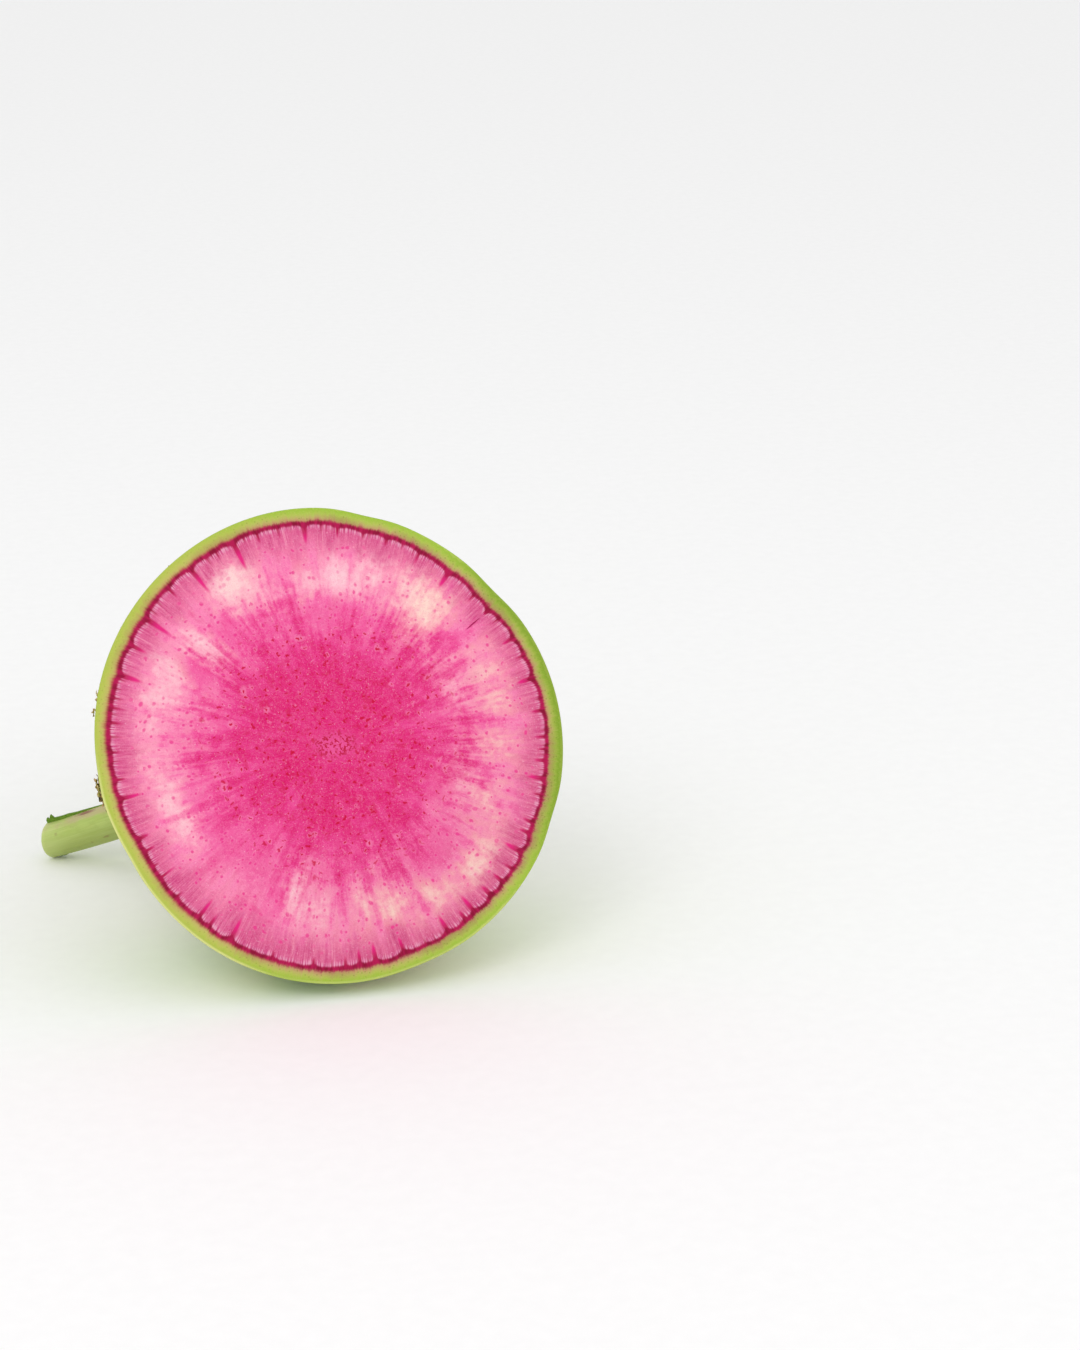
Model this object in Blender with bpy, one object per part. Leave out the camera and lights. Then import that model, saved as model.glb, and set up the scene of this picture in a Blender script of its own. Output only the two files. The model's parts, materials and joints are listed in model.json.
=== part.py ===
# The crown half of a red meat radish, cut straight across, with its cropped leaf stalks.
# It leans back on its flank and on the tips of two stalks, with the cut face towards -Y.
#
# Each piece is shaped in the radish's own axes: the cut face lies in the XY plane and looks
# along +Z, and the root runs down -Z to the crown. One empty tips those axes back onto the table.

import math

import bmesh
import bpy
from mathutils import Matrix, Vector

MM = 0.001

# Driving dimensions
WIDEST_RADIUS = 45.0 * MM
CUT_PAST_WIDEST = 6.0 * MM  # the knife went in this far on the crown's side of the widest place
SHOULDER_DEPTH = 49.5 * MM  # from the cut to where the flank would close on the axis
SHOULDER_POWER = 2.3  # 2 is an ellipse, and more is squarer shoulders
LEAN = math.radians(19.0)  # the cut face leans back from upright
REST_SPOT_DEPTH = 0.25 * MM  # how much of the flank is pressed flat
FIT_GAP = 0.3 * MM

# Low lobes of the root's outline: how many round the axis, share of the radius, where one peaks
OUTLINE_LOBES = (
    (2, 0.0223, math.radians(125)),
    (3, 0.0059, math.radians(4)),
    (4, 0.0028, math.radians(-4)),
    (5, 0.0025, math.radians(21)),
)
FLANK_SEGMENTS = 56
FLANK_RINGS = 12

# The crown, as (radius, depth below the cut) from the shoulder inwards: a corky groove, then the
# neck in steps, where earlier leaves have dropped off
CORK_RADIUS = 20.5 * MM
NECK_STEPS = (
    (18.4 * MM, 44.3 * MM),
    (16.7 * MM, 43.8 * MM),
    (15.5 * MM, 44.6 * MM),
    (14.7 * MM, 46.8 * MM),
    (13.0 * MM, 47.9 * MM),
    (12.1 * MM, 49.9 * MM),
    (10.5 * MM, 50.8 * MM),
    (9.4 * MM, 52.5 * MM),
    (6.5 * MM, 53.6 * MM),
)
NECK_TOP = 54.1 * MM
SCAR_SHIFT = 0.8 * MM  # each step sits off centre by this, turned by the leaf spiral
LEAF_SPIRAL = math.radians(137.5)

# Leaf stalks: half widths and half thicknesses, before each stalk's own size
STALK_SIDES = 12
STALK_SECTIONS = 9
STALK_ROOT_DEPTH = 49.5 * MM  # where a stalk starts inside the neck, before it is trimmed to it
STALK_ROOT_RADIUS = 8.9 * MM  # from the neck's axis to the middle of a stalk's root
STALK_BASE_WIDTH = 5.0 * MM
STALK_BASE_THICKNESS = 2.3 * MM
STALK_WIDTH = 3.4 * MM
STALK_THICKNESS = 2.9 * MM
CLASP = 1.3 * MM  # how far the edges of a stalk's base bend in round the neck
GROOVE = 0.20  # share of the thickness lost in the groove along the inner side
LYING_SINK = 0.15 * MM  # a lying stalk is pressed this far into the table, and trimmed flat there

# Each stalk: direction round the neck, how far it leans out from the root's axis as it leaves the
# neck, size, the place of its cut end in the radish's axes as (x, y, depth), and its leaf wings as
# (side, width, share of the length where it starts). A stalk that lies on the table has no y,
# because the table gives it.
STALKS = {
    "leaf_stalk_left": {
        "around": 206, "out": 1.05, "size": 1.20, "end": (-51.4, None, 78.5),
        "wings": ((-1, 0.5, 0.60),),
    },
    "leaf_stalk_right": {
        "around": 337, "out": 0.60, "size": 1.16, "end": (34.0, None, 90.0),
        "wings": ((1, 4.8, 0.46),),
    },
    "leaf_stalk_low": {
        "around": 273, "out": 0.30, "size": 1.12, "end": (-5.0, -6.6, 99.0),
        "wings": ((1, 4.0, 0.50), (-1, 5.0, 0.44)),
    },
    "leaf_stalk_back": {
        "around": 53, "out": 0.30, "size": 1.24, "end": (24.0, 22.0, 97.0),
        "wings": ((1, 5.4, 0.44), (-1, 4.0, 0.56)),
    },
    "leaf_stalk_top": {
        "around": 125, "out": 0.30, "size": 1.20, "end": (-18.0, 24.0, 99.0),
        "wings": ((1, 4.4, 0.54), (-1, 5.6, 0.46)),
    },
}
WING_COLUMNS = 13
WING_ROWS = 2
WING_WAVES = 2.5
WING_WAVE = 0.28  # share of the wing's width
BLADE_THICKNESS = 0.8 * MM

# Young leaves stand between the stalks, on thin stems of their own
YOUNG_LEAVES = {
    "young_leaf_centre": {"around": 250, "root": 0.8, "end": (-1.0, 1.5, 95.0), "width": 7.0, "seed": 0.0},
    "young_leaf_top": {"around": 89, "root": 4.4, "end": (2.0, 17.5, 89.0), "width": 7.5, "seed": 1.3},
    "young_leaf_left": {"around": 161, "root": 4.4, "end": (-21.0, 5.5, 86.0), "width": 7.0, "seed": 2.1},
    "young_leaf_right": {"around": 15, "root": 4.4, "end": (22.0, 4.0, 88.0), "width": 7.0, "seed": 3.4},
}
STEM_SIDES = 8
STEM_SECTIONS = 7
STEM_OUT = 0.25
STEM_BASE_RADIUS = 1.6 * MM
STEM_END_RADIUS = 1.1 * MM
LEAF_START = 0.34
LEAF_ROWS = 13
LEAF_COLUMNS = 6
LEAF_WAVES = 3.0
LEAF_WAVE = 2.0 * MM
LEAF_CUP = 2.6 * MM
LEAF_TEETH = 0.17  # share of the width that the toothed edge goes in and out


def material(name, colour, roughness):
    made = bpy.data.materials.new(name)
    made.use_nodes = True
    shader = made.node_tree.nodes["Principled BSDF"]
    shader.inputs["Base Color"].default_value = (*colour, 1.0)
    shader.inputs["Roughness"].default_value = roughness
    shader.inputs["Metallic"].default_value = 0.0
    return made


def new_object(name, bm, *materials):
    mesh = bpy.data.meshes.new(name)
    bm.to_mesh(mesh)
    bm.free()
    for each in materials:
        mesh.materials.append(each)
    mesh.shade_smooth()
    mesh.set_sharp_from_angle(angle=math.radians(35))
    made = bpy.data.objects.new(name, mesh)
    bpy.context.scene.collection.objects.link(made)
    return made


# The root

def flank_radius(depth):
    """Radius of the flank at a depth below the cut, before its lobes."""
    share = (depth + CUT_PAST_WIDEST) / (SHOULDER_DEPTH + CUT_PAST_WIDEST)
    return WIDEST_RADIUS * (1 - share**SHOULDER_POWER) ** (1 / SHOULDER_POWER)


def depth_at_radius(radius):
    share = (1 - (radius / WIDEST_RADIUS) ** SHOULDER_POWER) ** (1 / SHOULDER_POWER)
    return share * (SHOULDER_DEPTH + CUT_PAST_WIDEST) - CUT_PAST_WIDEST


def flank_profile():
    """(radius, depth) from the rim of the cut to the corky shoulder, closer together as it turns."""
    last = depth_at_radius(CORK_RADIUS)
    points = []
    for ring in range(FLANK_RINGS + 1):
        depth = last * math.sin(math.pi / 2 * ring / FLANK_RINGS)
        points.append((flank_radius(depth), depth))
    return points


def lobed(point):
    """Moves a point of the turned root out or in by the outline's lobes, less so towards the crown."""
    around = math.atan2(point.y, point.x)
    depth = -point.z
    fade = 1 - 0.6 * (depth / NECK_TOP) ** 2
    grow = 1 + fade * sum(size * math.cos(n * (around - peak)) for n, size, peak in OUTLINE_LOBES)
    return Vector((point.x * grow, point.y * grow, point.z))


def spin_profile(points):
    """The surface turned from (radius, depth) points. It is closed where they reach the axis."""
    bm = bmesh.new()
    verts = [bm.verts.new((radius, 0, -depth)) for radius, depth in points]
    edges = [bm.edges.new(pair) for pair in zip(verts, verts[1:])]
    bmesh.ops.spin(
        bm, geom=verts + edges, cent=(0, 0, 0), axis=(0, 0, 1), angle=math.tau,
        steps=FLANK_SEGMENTS, use_merge=True, use_duplicate=False,
    )
    bmesh.ops.remove_doubles(bm, verts=bm.verts, dist=1e-6)
    bmesh.ops.recalc_face_normals(bm, faces=bm.faces)
    return bm


def shaped(bm, steps):
    """Moves the neck's steps off centre and gives the whole its lobes."""
    for vert in bm.verts:
        radius = math.hypot(vert.co.x, vert.co.y)
        for step, (step_radius, depth) in enumerate(steps):
            if abs(radius - step_radius) < 1e-5 and abs(vert.co.z + depth) < 1e-5:
                turn = step * LEAF_SPIRAL
                vert.co += Vector((math.cos(turn), math.sin(turn), 0)) * SCAR_SHIFT
                break
        vert.co = lobed(vert.co)
    return bm


def root_solid():
    bm = spin_profile(flank_profile() + list(NECK_STEPS) + [(0.0, NECK_TOP)])
    rim = [edge for edge in bm.edges if edge.is_boundary]
    bmesh.ops.contextual_create(bm, geom=rim)
    bmesh.ops.recalc_face_normals(bm, faces=bm.faces)
    return shaped(bm, NECK_STEPS)


def trimmer_solid():
    """The neck grown by the fit gap on every side: it trims the stalks to the neck."""
    steps = [(radius + FIT_GAP, depth + FIT_GAP) for radius, depth in NECK_STEPS]
    shoulder = (CORK_RADIUS + FIT_GAP, depth_at_radius(CORK_RADIUS) + FIT_GAP)
    inside = [(0.0, 30 * MM), (shoulder[0], 30 * MM), shoulder]
    return shaped(spin_profile(inside + steps + [(0.0, NECK_TOP + FIT_GAP)]), steps)


def place_on_table(bm):
    """The matrix from the radish's axes to the world, with the root's lowest place on the table."""
    tip_back = Matrix.Rotation(math.pi / 2 - LEAN, 4, "X")
    lowest = min((tip_back @ vert.co for vert in bm.verts), key=lambda place: place.z)
    return Matrix.Translation(-lowest - Vector((0, 0, REST_SPOT_DEPTH))) @ tip_back


def trim_at_table(bm, axes):
    """Cuts off what reaches below the table, and closes the flat spot that this leaves."""
    to_axes = axes.inverted()
    down = to_axes.to_3x3() @ Vector((0, 0, -1))
    cut = bmesh.ops.bisect_plane(
        bm, geom=bm.verts[:] + bm.edges[:] + bm.faces[:], dist=1e-7,
        plane_co=to_axes @ Vector((0, 0, 0)), plane_no=down, clear_outer=True,
    )
    rim = [item for item in cut["geom_cut"] if isinstance(item, bmesh.types.BMEdge)]
    bmesh.ops.contextual_create(bm, geom=rim)


# Stalks and leaves

def bezier(points, share):
    """A place on the cubic curve through the first and last of four points, and its direction."""
    a, b, c, d = points
    rest = 1 - share
    place = a * rest**3 + b * 3 * rest**2 * share + c * 3 * rest * share**2 + d * share**3
    way = (b - a) * rest**2 + (c - b) * 2 * rest * share + (d - c) * share**2
    return place, way.normalized()


def section_axes(points, share):
    """Place, side and inner direction of a stalk's cross-section: inner looks at the root's axis."""
    place, way = bezier(points, share)
    towards_axis = Vector((-place.x, -place.y, 0))
    if towards_axis.length < 1e-4:
        towards_axis = Vector((0, 1, 0))
    inner = (towards_axis - way * towards_axis.dot(way)).normalized()
    return place, way.cross(inner), inner, way


def stalk_curve(around, out, root_radius, end, root_pull=0.36, end_pull=0.30):
    """Four points from inside the neck to the cut end. Out is how far it leans from the axis."""
    turn = math.radians(around)
    start = Vector((math.cos(turn) * root_radius, math.sin(turn) * root_radius, -STALK_ROOT_DEPTH))
    reach = (end - start).length
    leave = Vector((math.cos(turn) * out, math.sin(turn) * out, -1)).normalized()
    arrive = (end - start - leave * reach * 0.45).normalized()
    return start, start + leave * reach * root_pull, end - arrive * reach * end_pull, end


def loft(bm, sections, sides):
    """A closed tube through cross-sections, each given as a function of the angle round it."""
    loops = []
    for section in sections:
        ring = bmesh.ops.create_circle(bm, segments=sides, radius=1.0)["verts"]
        for corner in ring:
            corner.co = section(math.atan2(corner.co.y, corner.co.x))
        loops.append(ring)
    for before, after in zip(loops, loops[1:]):
        edges = [edge for ring in (before, after) for edge in edges_of(ring)]
        bmesh.ops.bridge_loops(bm, edges=edges)
    for ring in (loops[0], loops[-1]):
        bmesh.ops.contextual_create(bm, geom=edges_of(ring))
    bmesh.ops.recalc_face_normals(bm, faces=bm.faces)


def edges_of(ring):
    inside = set(ring)
    return list({edge for vert in ring for edge in vert.link_edges if edge.other_vert(vert) in inside})


def stalk_section(points, share, size):
    """The stalk's outline at a share of its length: wide and thin at the root, grooved inside."""
    place, side, inner, _ = section_axes(points, share)
    settle = min(1.0, share / 0.40)
    settle = settle * settle * (3 - 2 * settle)
    width = (STALK_BASE_WIDTH + (STALK_WIDTH - STALK_BASE_WIDTH) * settle) * size
    thickness = (STALK_BASE_THICKNESS + (STALK_THICKNESS - STALK_BASE_THICKNESS) * settle) * size

    def outline(angle):
        across, up = math.cos(angle), math.sin(angle)
        if up > 0:
            up *= 1 - GROOVE * (1 + math.exp(-((across / 0.45) ** 2))) * up
        bend = CLASP * (1 - settle) * (across * across - 0.5)
        return place + side * (across * width) + inner * (up * thickness + bend)

    return outline


def lying_curve(axes, spec):
    """The curve of a stalk whose end lies on the table, pressed into it by LYING_SINK."""
    rise = (axes.to_3x3() @ Vector((0, 1, 0))).z
    x, _, depth = spec["end"]
    y = 0.0
    for _ in range(8):
        end = Vector((x * MM, y, -depth * MM))
        points = stalk_curve(spec["around"], spec["out"], STALK_ROOT_RADIUS, end)
        outline = stalk_section(points, 1.0, spec["size"])
        corners = [outline(math.tau * corner / STALK_SIDES) for corner in range(STALK_SIDES)]
        lowest = min((axes @ corner).z for corner in corners)
        y -= (lowest + LYING_SINK) / rise
    return points


def stem_section(points, share):
    place, side, inner, _ = section_axes(points, share)
    radius = STEM_BASE_RADIUS + (STEM_END_RADIUS - STEM_BASE_RADIUS) * share

    def outline(angle):
        return place + (side * math.cos(angle) + inner * math.sin(angle)) * radius

    return outline


def blade(bm_name, columns, rows, place_of, colour):
    """A thin waved plate: place_of gives the place of each point of its grid, from (0..1, 0..1)."""
    bm = bmesh.new()
    bmesh.ops.create_grid(bm, x_segments=columns, y_segments=rows, size=0.5)
    for vert in bm.verts:
        vert.co = place_of(vert.co.x + 0.5, vert.co.y + 0.5)
    bmesh.ops.triangulate(bm, faces=bm.faces)
    bmesh.ops.recalc_face_normals(bm, faces=bm.faces)
    bmesh.ops.solidify(bm, geom=bm.faces[:], thickness=BLADE_THICKNESS)
    bmesh.ops.recalc_face_normals(bm, faces=bm.faces)
    return new_object(bm_name, bm, colour)


def wing_place(points, which_side, width, start, size):
    """A strip of leaf blade along one side of a stalk, lobed and waved at its free edge."""
    edge = STALK_WIDTH * size

    def place_of(along, out):
        share = start + (0.995 - start) * along
        place, side, inner, _ = section_axes(points, share)
        swell = math.sin(math.pi * (0.08 + 0.72 * along)) ** 0.7
        lobes = 0.70 + 0.30 * math.cos(math.tau * 3 * along + which_side)
        reach = width * MM * swell * lobes
        wave = math.sin(math.tau * WING_WAVES * along + 2.0 * which_side) * WING_WAVE * width * MM
        lift = WING_WAVE * width * MM * out
        return (
            place
            + side * which_side * (edge * 0.72 + out * (edge * 0.28 + reach))
            + inner * (out * (wave + lift) + 0.4 * MM)
        )

    return place_of


def leaf_place(points, width, seed):
    """A young leaf's blade across its stem, cupped, with a waved and toothed edge."""

    def place_of(along, across):
        share = LEAF_START + (0.985 - LEAF_START) * along
        place, side, inner, _ = section_axes(points, share)
        out = 2 * across - 1
        swell = math.sin(math.pi * (0.10 + 0.72 * along)) ** 0.8
        teeth = 1 + LEAF_TEETH * math.sin(math.tau * 3.5 * along + seed + out)
        reach = width * MM * swell * teeth
        wave = math.sin(math.tau * LEAF_WAVES * along + seed + 1.5 * out) * LEAF_WAVE * out * out
        return place + side * (out * reach) + inner * (LEAF_CUP * out * out * swell + wave)

    return place_of


def fuse(name, core, blades):
    """Joins the blades to their stalk in one body, as one mesh, and drops the separate blades."""
    group = bpy.data.collections.new(name + "_blades")
    bpy.context.scene.collection.children.link(group)
    for each in blades:
        bpy.context.scene.collection.objects.unlink(each)
        group.objects.link(each)
    union = core.modifiers.new("Fuse", "BOOLEAN")
    union.operation = "UNION"
    union.operand_type = "COLLECTION"
    union.collection = group
    union.solver = "EXACT"
    graph = bpy.context.evaluated_depsgraph_get()
    fused = bpy.data.meshes.new_from_object(core.evaluated_get(graph))
    core.modifiers.clear()
    core.data = fused
    for each in blades:
        bpy.data.objects.remove(each)
    bpy.data.collections.remove(group)
    return core


def trimmed_to_neck(piece, trimmer):
    cut = piece.modifiers.new("Trim to neck", "BOOLEAN")
    cut.operation = "DIFFERENCE"
    cut.solver = "EXACT"
    cut.object = trimmer


def make_stalk(name, spec, axes, colours):
    size = spec["size"]
    lying = spec["end"][1] is None
    if lying:
        points = lying_curve(axes, spec)
    else:
        x, y, depth = spec["end"]
        end = Vector((x, y, -depth)) * MM
        points = stalk_curve(spec["around"], spec["out"], STALK_ROOT_RADIUS, end)
    bm = bmesh.new()
    shares = [section / STALK_SECTIONS for section in range(STALK_SECTIONS + 1)]
    loft(bm, [stalk_section(points, share, size) for share in shares], STALK_SIDES)
    stalk = new_object(name, bm, *colours)
    blades = []
    for side, width, start in spec["wings"]:
        shape = wing_place(points, side, width, start, size)
        blades.append(blade(name + "_wing", WING_COLUMNS, WING_ROWS, shape, colours[1]))
    fuse(name, stalk, blades)
    if lying:
        bm = bmesh.new()
        bm.from_mesh(stalk.data)
        trim_at_table(bm, axes)
        bm.to_mesh(stalk.data)
        bm.free()
    return stalk


def make_young_leaf(name, spec, colours):
    end = Vector((spec["end"][0], spec["end"][1], -spec["end"][2])) * MM
    points = stalk_curve(spec["around"], STEM_OUT, spec["root"] * MM, end)
    bm = bmesh.new()
    shares = [section / STEM_SECTIONS for section in range(STEM_SECTIONS + 1)]
    loft(bm, [stem_section(points, share) for share in shares], STEM_SIDES)
    stem = new_object(name, bm, *colours)
    lamina = blade(
        name + "_blade", LEAF_ROWS, LEAF_COLUMNS, leaf_place(points, spec["width"], spec["seed"]), colours[1]
    )
    return fuse(name, stem, [lamina])


def build():
    for old in list(bpy.data.objects):
        bpy.data.objects.remove(old)

    skin = material("radish_skin", (0.38, 0.52, 0.10), 0.45)
    flesh = material("red_flesh", (0.74, 0.06, 0.22), 0.40)
    stalk_green = material("stalk_green", (0.36, 0.50, 0.12), 0.45)
    leaf_green = material("leaf_green", (0.07, 0.22, 0.03), 0.50)

    bm = root_solid()
    axes = place_on_table(bm)
    trim_at_table(bm, axes)
    for face in bm.faces:
        on_the_cut = all(abs(vert.co.z) < 1e-6 for vert in face.verts)
        face.material_index = 1 if on_the_cut else 0
    root = new_object("radish_half", bm, skin, flesh)

    trimmer = new_object("neck_trimmer", trimmer_solid(), skin)
    trimmer.hide_render = True
    trimmer.display_type = "WIRE"

    pieces = [root, trimmer]
    for name, spec in STALKS.items():
        stalk = make_stalk(name, spec, axes, (stalk_green, leaf_green))
        trimmed_to_neck(stalk, trimmer)
        pieces.append(stalk)
    for name, spec in YOUNG_LEAVES.items():
        leaf = make_young_leaf(name, spec, (stalk_green, leaf_green))
        trimmed_to_neck(leaf, trimmer)
        pieces.append(leaf)

    holder = bpy.data.objects.new("radish_axes", None)
    bpy.context.scene.collection.objects.link(holder)
    holder.matrix_world = axes
    for piece in pieces:
        piece.parent = holder


build()
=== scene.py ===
import json
import math
import random

import bmesh
import bpy
from mathutils import Matrix, Vector, noise


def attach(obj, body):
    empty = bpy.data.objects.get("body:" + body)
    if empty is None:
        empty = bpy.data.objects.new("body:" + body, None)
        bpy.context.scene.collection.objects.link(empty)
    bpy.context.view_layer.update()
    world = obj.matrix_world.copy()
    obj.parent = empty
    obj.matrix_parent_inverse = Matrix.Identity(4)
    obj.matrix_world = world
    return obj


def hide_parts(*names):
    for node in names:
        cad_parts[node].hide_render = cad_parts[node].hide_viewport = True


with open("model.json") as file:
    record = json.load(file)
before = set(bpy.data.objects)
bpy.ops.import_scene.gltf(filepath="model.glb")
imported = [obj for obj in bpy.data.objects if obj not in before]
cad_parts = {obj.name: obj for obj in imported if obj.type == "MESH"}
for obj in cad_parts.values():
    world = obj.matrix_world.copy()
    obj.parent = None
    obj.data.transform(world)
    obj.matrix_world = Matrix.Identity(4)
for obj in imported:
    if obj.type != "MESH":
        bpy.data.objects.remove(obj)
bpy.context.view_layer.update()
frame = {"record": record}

mm = 0.001


# The radish's own axes: the cut face lies in the XY plane and looks along +Z, in millimetres

cutMount = next(mount for mount in frame["record"]["mounts"] if mount["name"] == "cut_face")
faceCentre = Vector(cutMount["pos_m"])
tipBack = math.pi / 2 - math.asin(cutMount["axis"][2])
toWorld = Matrix.Translation(faceCentre) @ Matrix.Rotation(tipBack, 4, "X") @ Matrix.Scale(mm, 4)
toRadish = toWorld.inverted()


def smooth(low, high, value):
    share = min(1.0, max(0.0, (value - low) / (high - low)))
    return share * share * (3 - 2 * share)


def bell(distance, width):
    return math.exp(-((distance / width) ** 2))


def turnApart(a, b):
    return (a - b + 180) % 360 - 180


def atAngle(angle, radius=1.0, z=0.0):
    return Vector((math.cos(angle) * radius, math.sin(angle) * radius, z))


def rgb(red, green, blue):
    parts = []
    for part in (red, green, blue):
        part /= 255
        parts.append(part / 12.92 if part <= 0.04045 else ((part + 0.055) / 1.055) ** 2.4)
    return (*parts, 1.0)


# Materials

class Value:
    # what a shader node puts out, so that sums of such values are written as sums
    def __init__(self, paint, node, output=0):
        self.paint = paint
        self.socket = node.outputs[output]

    def __add__(self, other):
        return self.paint.maths("ADD", self, other)

    def __sub__(self, other):
        return self.paint.maths("SUBTRACT", self, other)

    def __rsub__(self, other):
        return self.paint.maths("SUBTRACT", other, self)

    def __mul__(self, other):
        return self.paint.maths("MULTIPLY", self, other)

    def rise(self, low, high, kind="SMOOTHSTEP"):
        # 0 up to low, 1 from high on
        parts = {"Value": self, "From Min": low, "From Max": high}
        return Value(self.paint, self.paint.node("ShaderNodeMapRange", parts, interpolation_type=kind))

    def fall(self, low, high):
        # 1 up to low, 0 from high on
        return self.rise(high, low)

    def sway(self, amount):
        # a noise as a push to both sides of nothing
        return (self - 0.5) * amount


class Paint:
    # a material with a running colour, which over and tint change; colours are 0 to 255
    def __init__(self, name, roughness=0.5, specular=0.5, subsurface=0.0, tone=rgb):
        self.material = bpy.data.materials.new(name)
        self.material.use_nodes = True
        self.tree = self.material.node_tree
        self.tone = tone
        self.colour = None
        self.shader = self.tree.nodes["Principled BSDF"].inputs
        self.shader["Roughness"].default_value = roughness
        self.shader["Specular IOR Level"].default_value = specular
        if subsurface:
            self.shader["Subsurface Weight"].default_value = subsurface
            self.shader["Subsurface Radius"].default_value = (1.0, 0.5, 0.4)
            self.shader["Subsurface Scale"].default_value = 1.5 * mm

    def feed(self, socket, value):
        if isinstance(value, Value):
            self.tree.links.new(value.socket, socket)
        else:
            socket.default_value = value

    def node(self, kind, parts=None, **settings):
        node = self.tree.nodes.new(kind)
        for setting, value in settings.items():
            setattr(node, setting, value)
        for part, value in (parts or {}).items():
            self.feed(node.inputs[part], value)
        return node

    def maths(self, operation, *values):
        return Value(self, self.node("ShaderNodeMath", dict(enumerate(values)), operation=operation))

    def vector(self, operation, *values):
        output = "Value" if operation in ("LENGTH", "DISTANCE", "DOT_PRODUCT") else "Vector"
        node = self.node("ShaderNodeVectorMath", dict(enumerate(values)), operation=operation)
        return Value(self, node, output)

    def either(self, a, b):
        return self.maths("MAXIMUM", a, b)

    def facing(self, vector, way):
        return self.vector("DOT_PRODUCT", vector, way)

    def toned(self, colour):
        # a colour of 0 to 255 as the shader's own; anything else stays as it is
        return self.tone(*colour) if isinstance(colour, tuple) and len(colour) == 3 else colour

    def mix(self, share, low, high, blend="MIX"):
        parts = {0: share, 6: self.toned(low), 7: self.toned(high)}
        return Value(self, self.node("ShaderNodeMix", parts, data_type="RGBA", blend_type=blend), 2)

    def over(self, share, colour):
        self.colour = self.mix(share, self.colour, colour)

    def tint(self, share, factors):
        self.colour = self.mix(share, self.colour, (*factors, 1), "MULTIPLY")

    def ramp(self, value, *stops):
        # each stop is a place and its colour
        node = self.node("ShaderNodeValToRGB", {0: value})
        elements = node.color_ramp.elements
        while len(elements) < len(stops):
            elements.new(0.5)
        for element, (place, *colour) in zip(elements, stops):
            element.position = place
            element.color = self.tone(*colour)
        return Value(self, node)

    def noise(self, vector, scale=1.0, detail=2.0, rough=0.5):
        parts = {"Vector": vector, "Scale": scale, "Detail": detail, "Roughness": rough}
        return Value(self, self.node("ShaderNodeTexNoise", parts), "Fac")

    def warped(self, vector, scale, amount):
        # the place pushed about by a noise, so that what is drawn there is uneven
        push = Value(self, self.node("ShaderNodeTexNoise", {"Vector": vector, "Scale": scale}), "Color")
        away = self.vector("SUBTRACT", push, (0.5, 0.5, 0.5))
        return self.vector("ADD", vector, self.vector("MULTIPLY", away, (amount, amount, 0)))

    def voronoi(self, vector, scale, flat, feature):
        dimensions = "2D" if flat else "3D"
        parts = {"Vector": vector, "Scale": scale}
        return self.node("ShaderNodeTexVoronoi", parts, feature=feature, voronoi_dimensions=dimensions)

    def cells(self, vector, scale=1.0, flat=False):
        # how far off the middle of the nearest cell is, and that cell's own random shade
        node = self.voronoi(vector, scale, flat, "F1")
        return Value(self, node, "Distance"), Value(self, node, "Color")

    def borders(self, vector, scale=1.0, flat=False):
        # how far off the nearest border between cells is
        return Value(self, self.voronoi(vector, scale, flat, "DISTANCE_TO_EDGE"), "Distance")

    def attribute(self, name, output="Fac"):
        return Value(self, self.node("ShaderNodeAttribute", attribute_name=name), output)

    def split(self, vector):
        node = self.node("ShaderNodeSeparateXYZ", {0: vector})
        return [Value(self, node, output) for output in range(3)]

    def join(self, *values):
        return Value(self, self.node("ShaderNodeCombineXYZ", dict(enumerate(values))))

    def objectAxes(self):
        return Value(self, self.node("ShaderNodeTexCoord"), "Object")

    def radishAxes(self):
        parts = {
            "Vector": self.objectAxes(), "Location": faceCentre, "Rotation": (tipBack, 0, 0),
            "Scale": (mm, mm, mm),
        }
        return Value(self, self.node("ShaderNodeMapping", parts, vector_type="TEXTURE"))

    def rays(self, heading, along, turns, steps):
        # a place where things run outwards: turns is how fine they are round the axis
        parts = {0: heading, "Scale": turns}
        x, y, _ = self.split(Value(self, self.node("ShaderNodeVectorMath", parts, operation="SCALE")))
        return self.join(x, y, along * steps)

    def finish(self, height=None, depth=0.1 * mm, roughness=None):
        self.feed(self.shader["Base Color"], self.colour)
        if roughness is not None:
            self.feed(self.shader["Roughness"], roughness)
        if height is not None:
            bump = self.node("ShaderNodeBump", {"Distance": depth, "Height": height})
            self.feed(self.shader["Normal"], Value(self, bump))
        return self.material


# Mesh helpers

def makePiece(name, bm, slot, material, *nodes, sharp=None):
    bmesh.ops.recalc_face_normals(bm, faces=bm.faces)
    mesh = bpy.data.meshes.new(name)
    bm.to_mesh(mesh)
    bm.free()
    mesh.transform(toWorld)
    mesh.materials.append(material)
    mesh.shade_smooth()
    if sharp:
        mesh.set_sharp_from_angle(angle=math.radians(sharp))
    piece = bpy.data.objects.new(name, mesh)
    bpy.context.scene.collection.objects.link(piece)
    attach(piece, "root")
    if nodes:
        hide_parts(*nodes)


def floatLayers(bm, *names):
    return [bm.verts.layers.float.new(name) for name in names]


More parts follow.
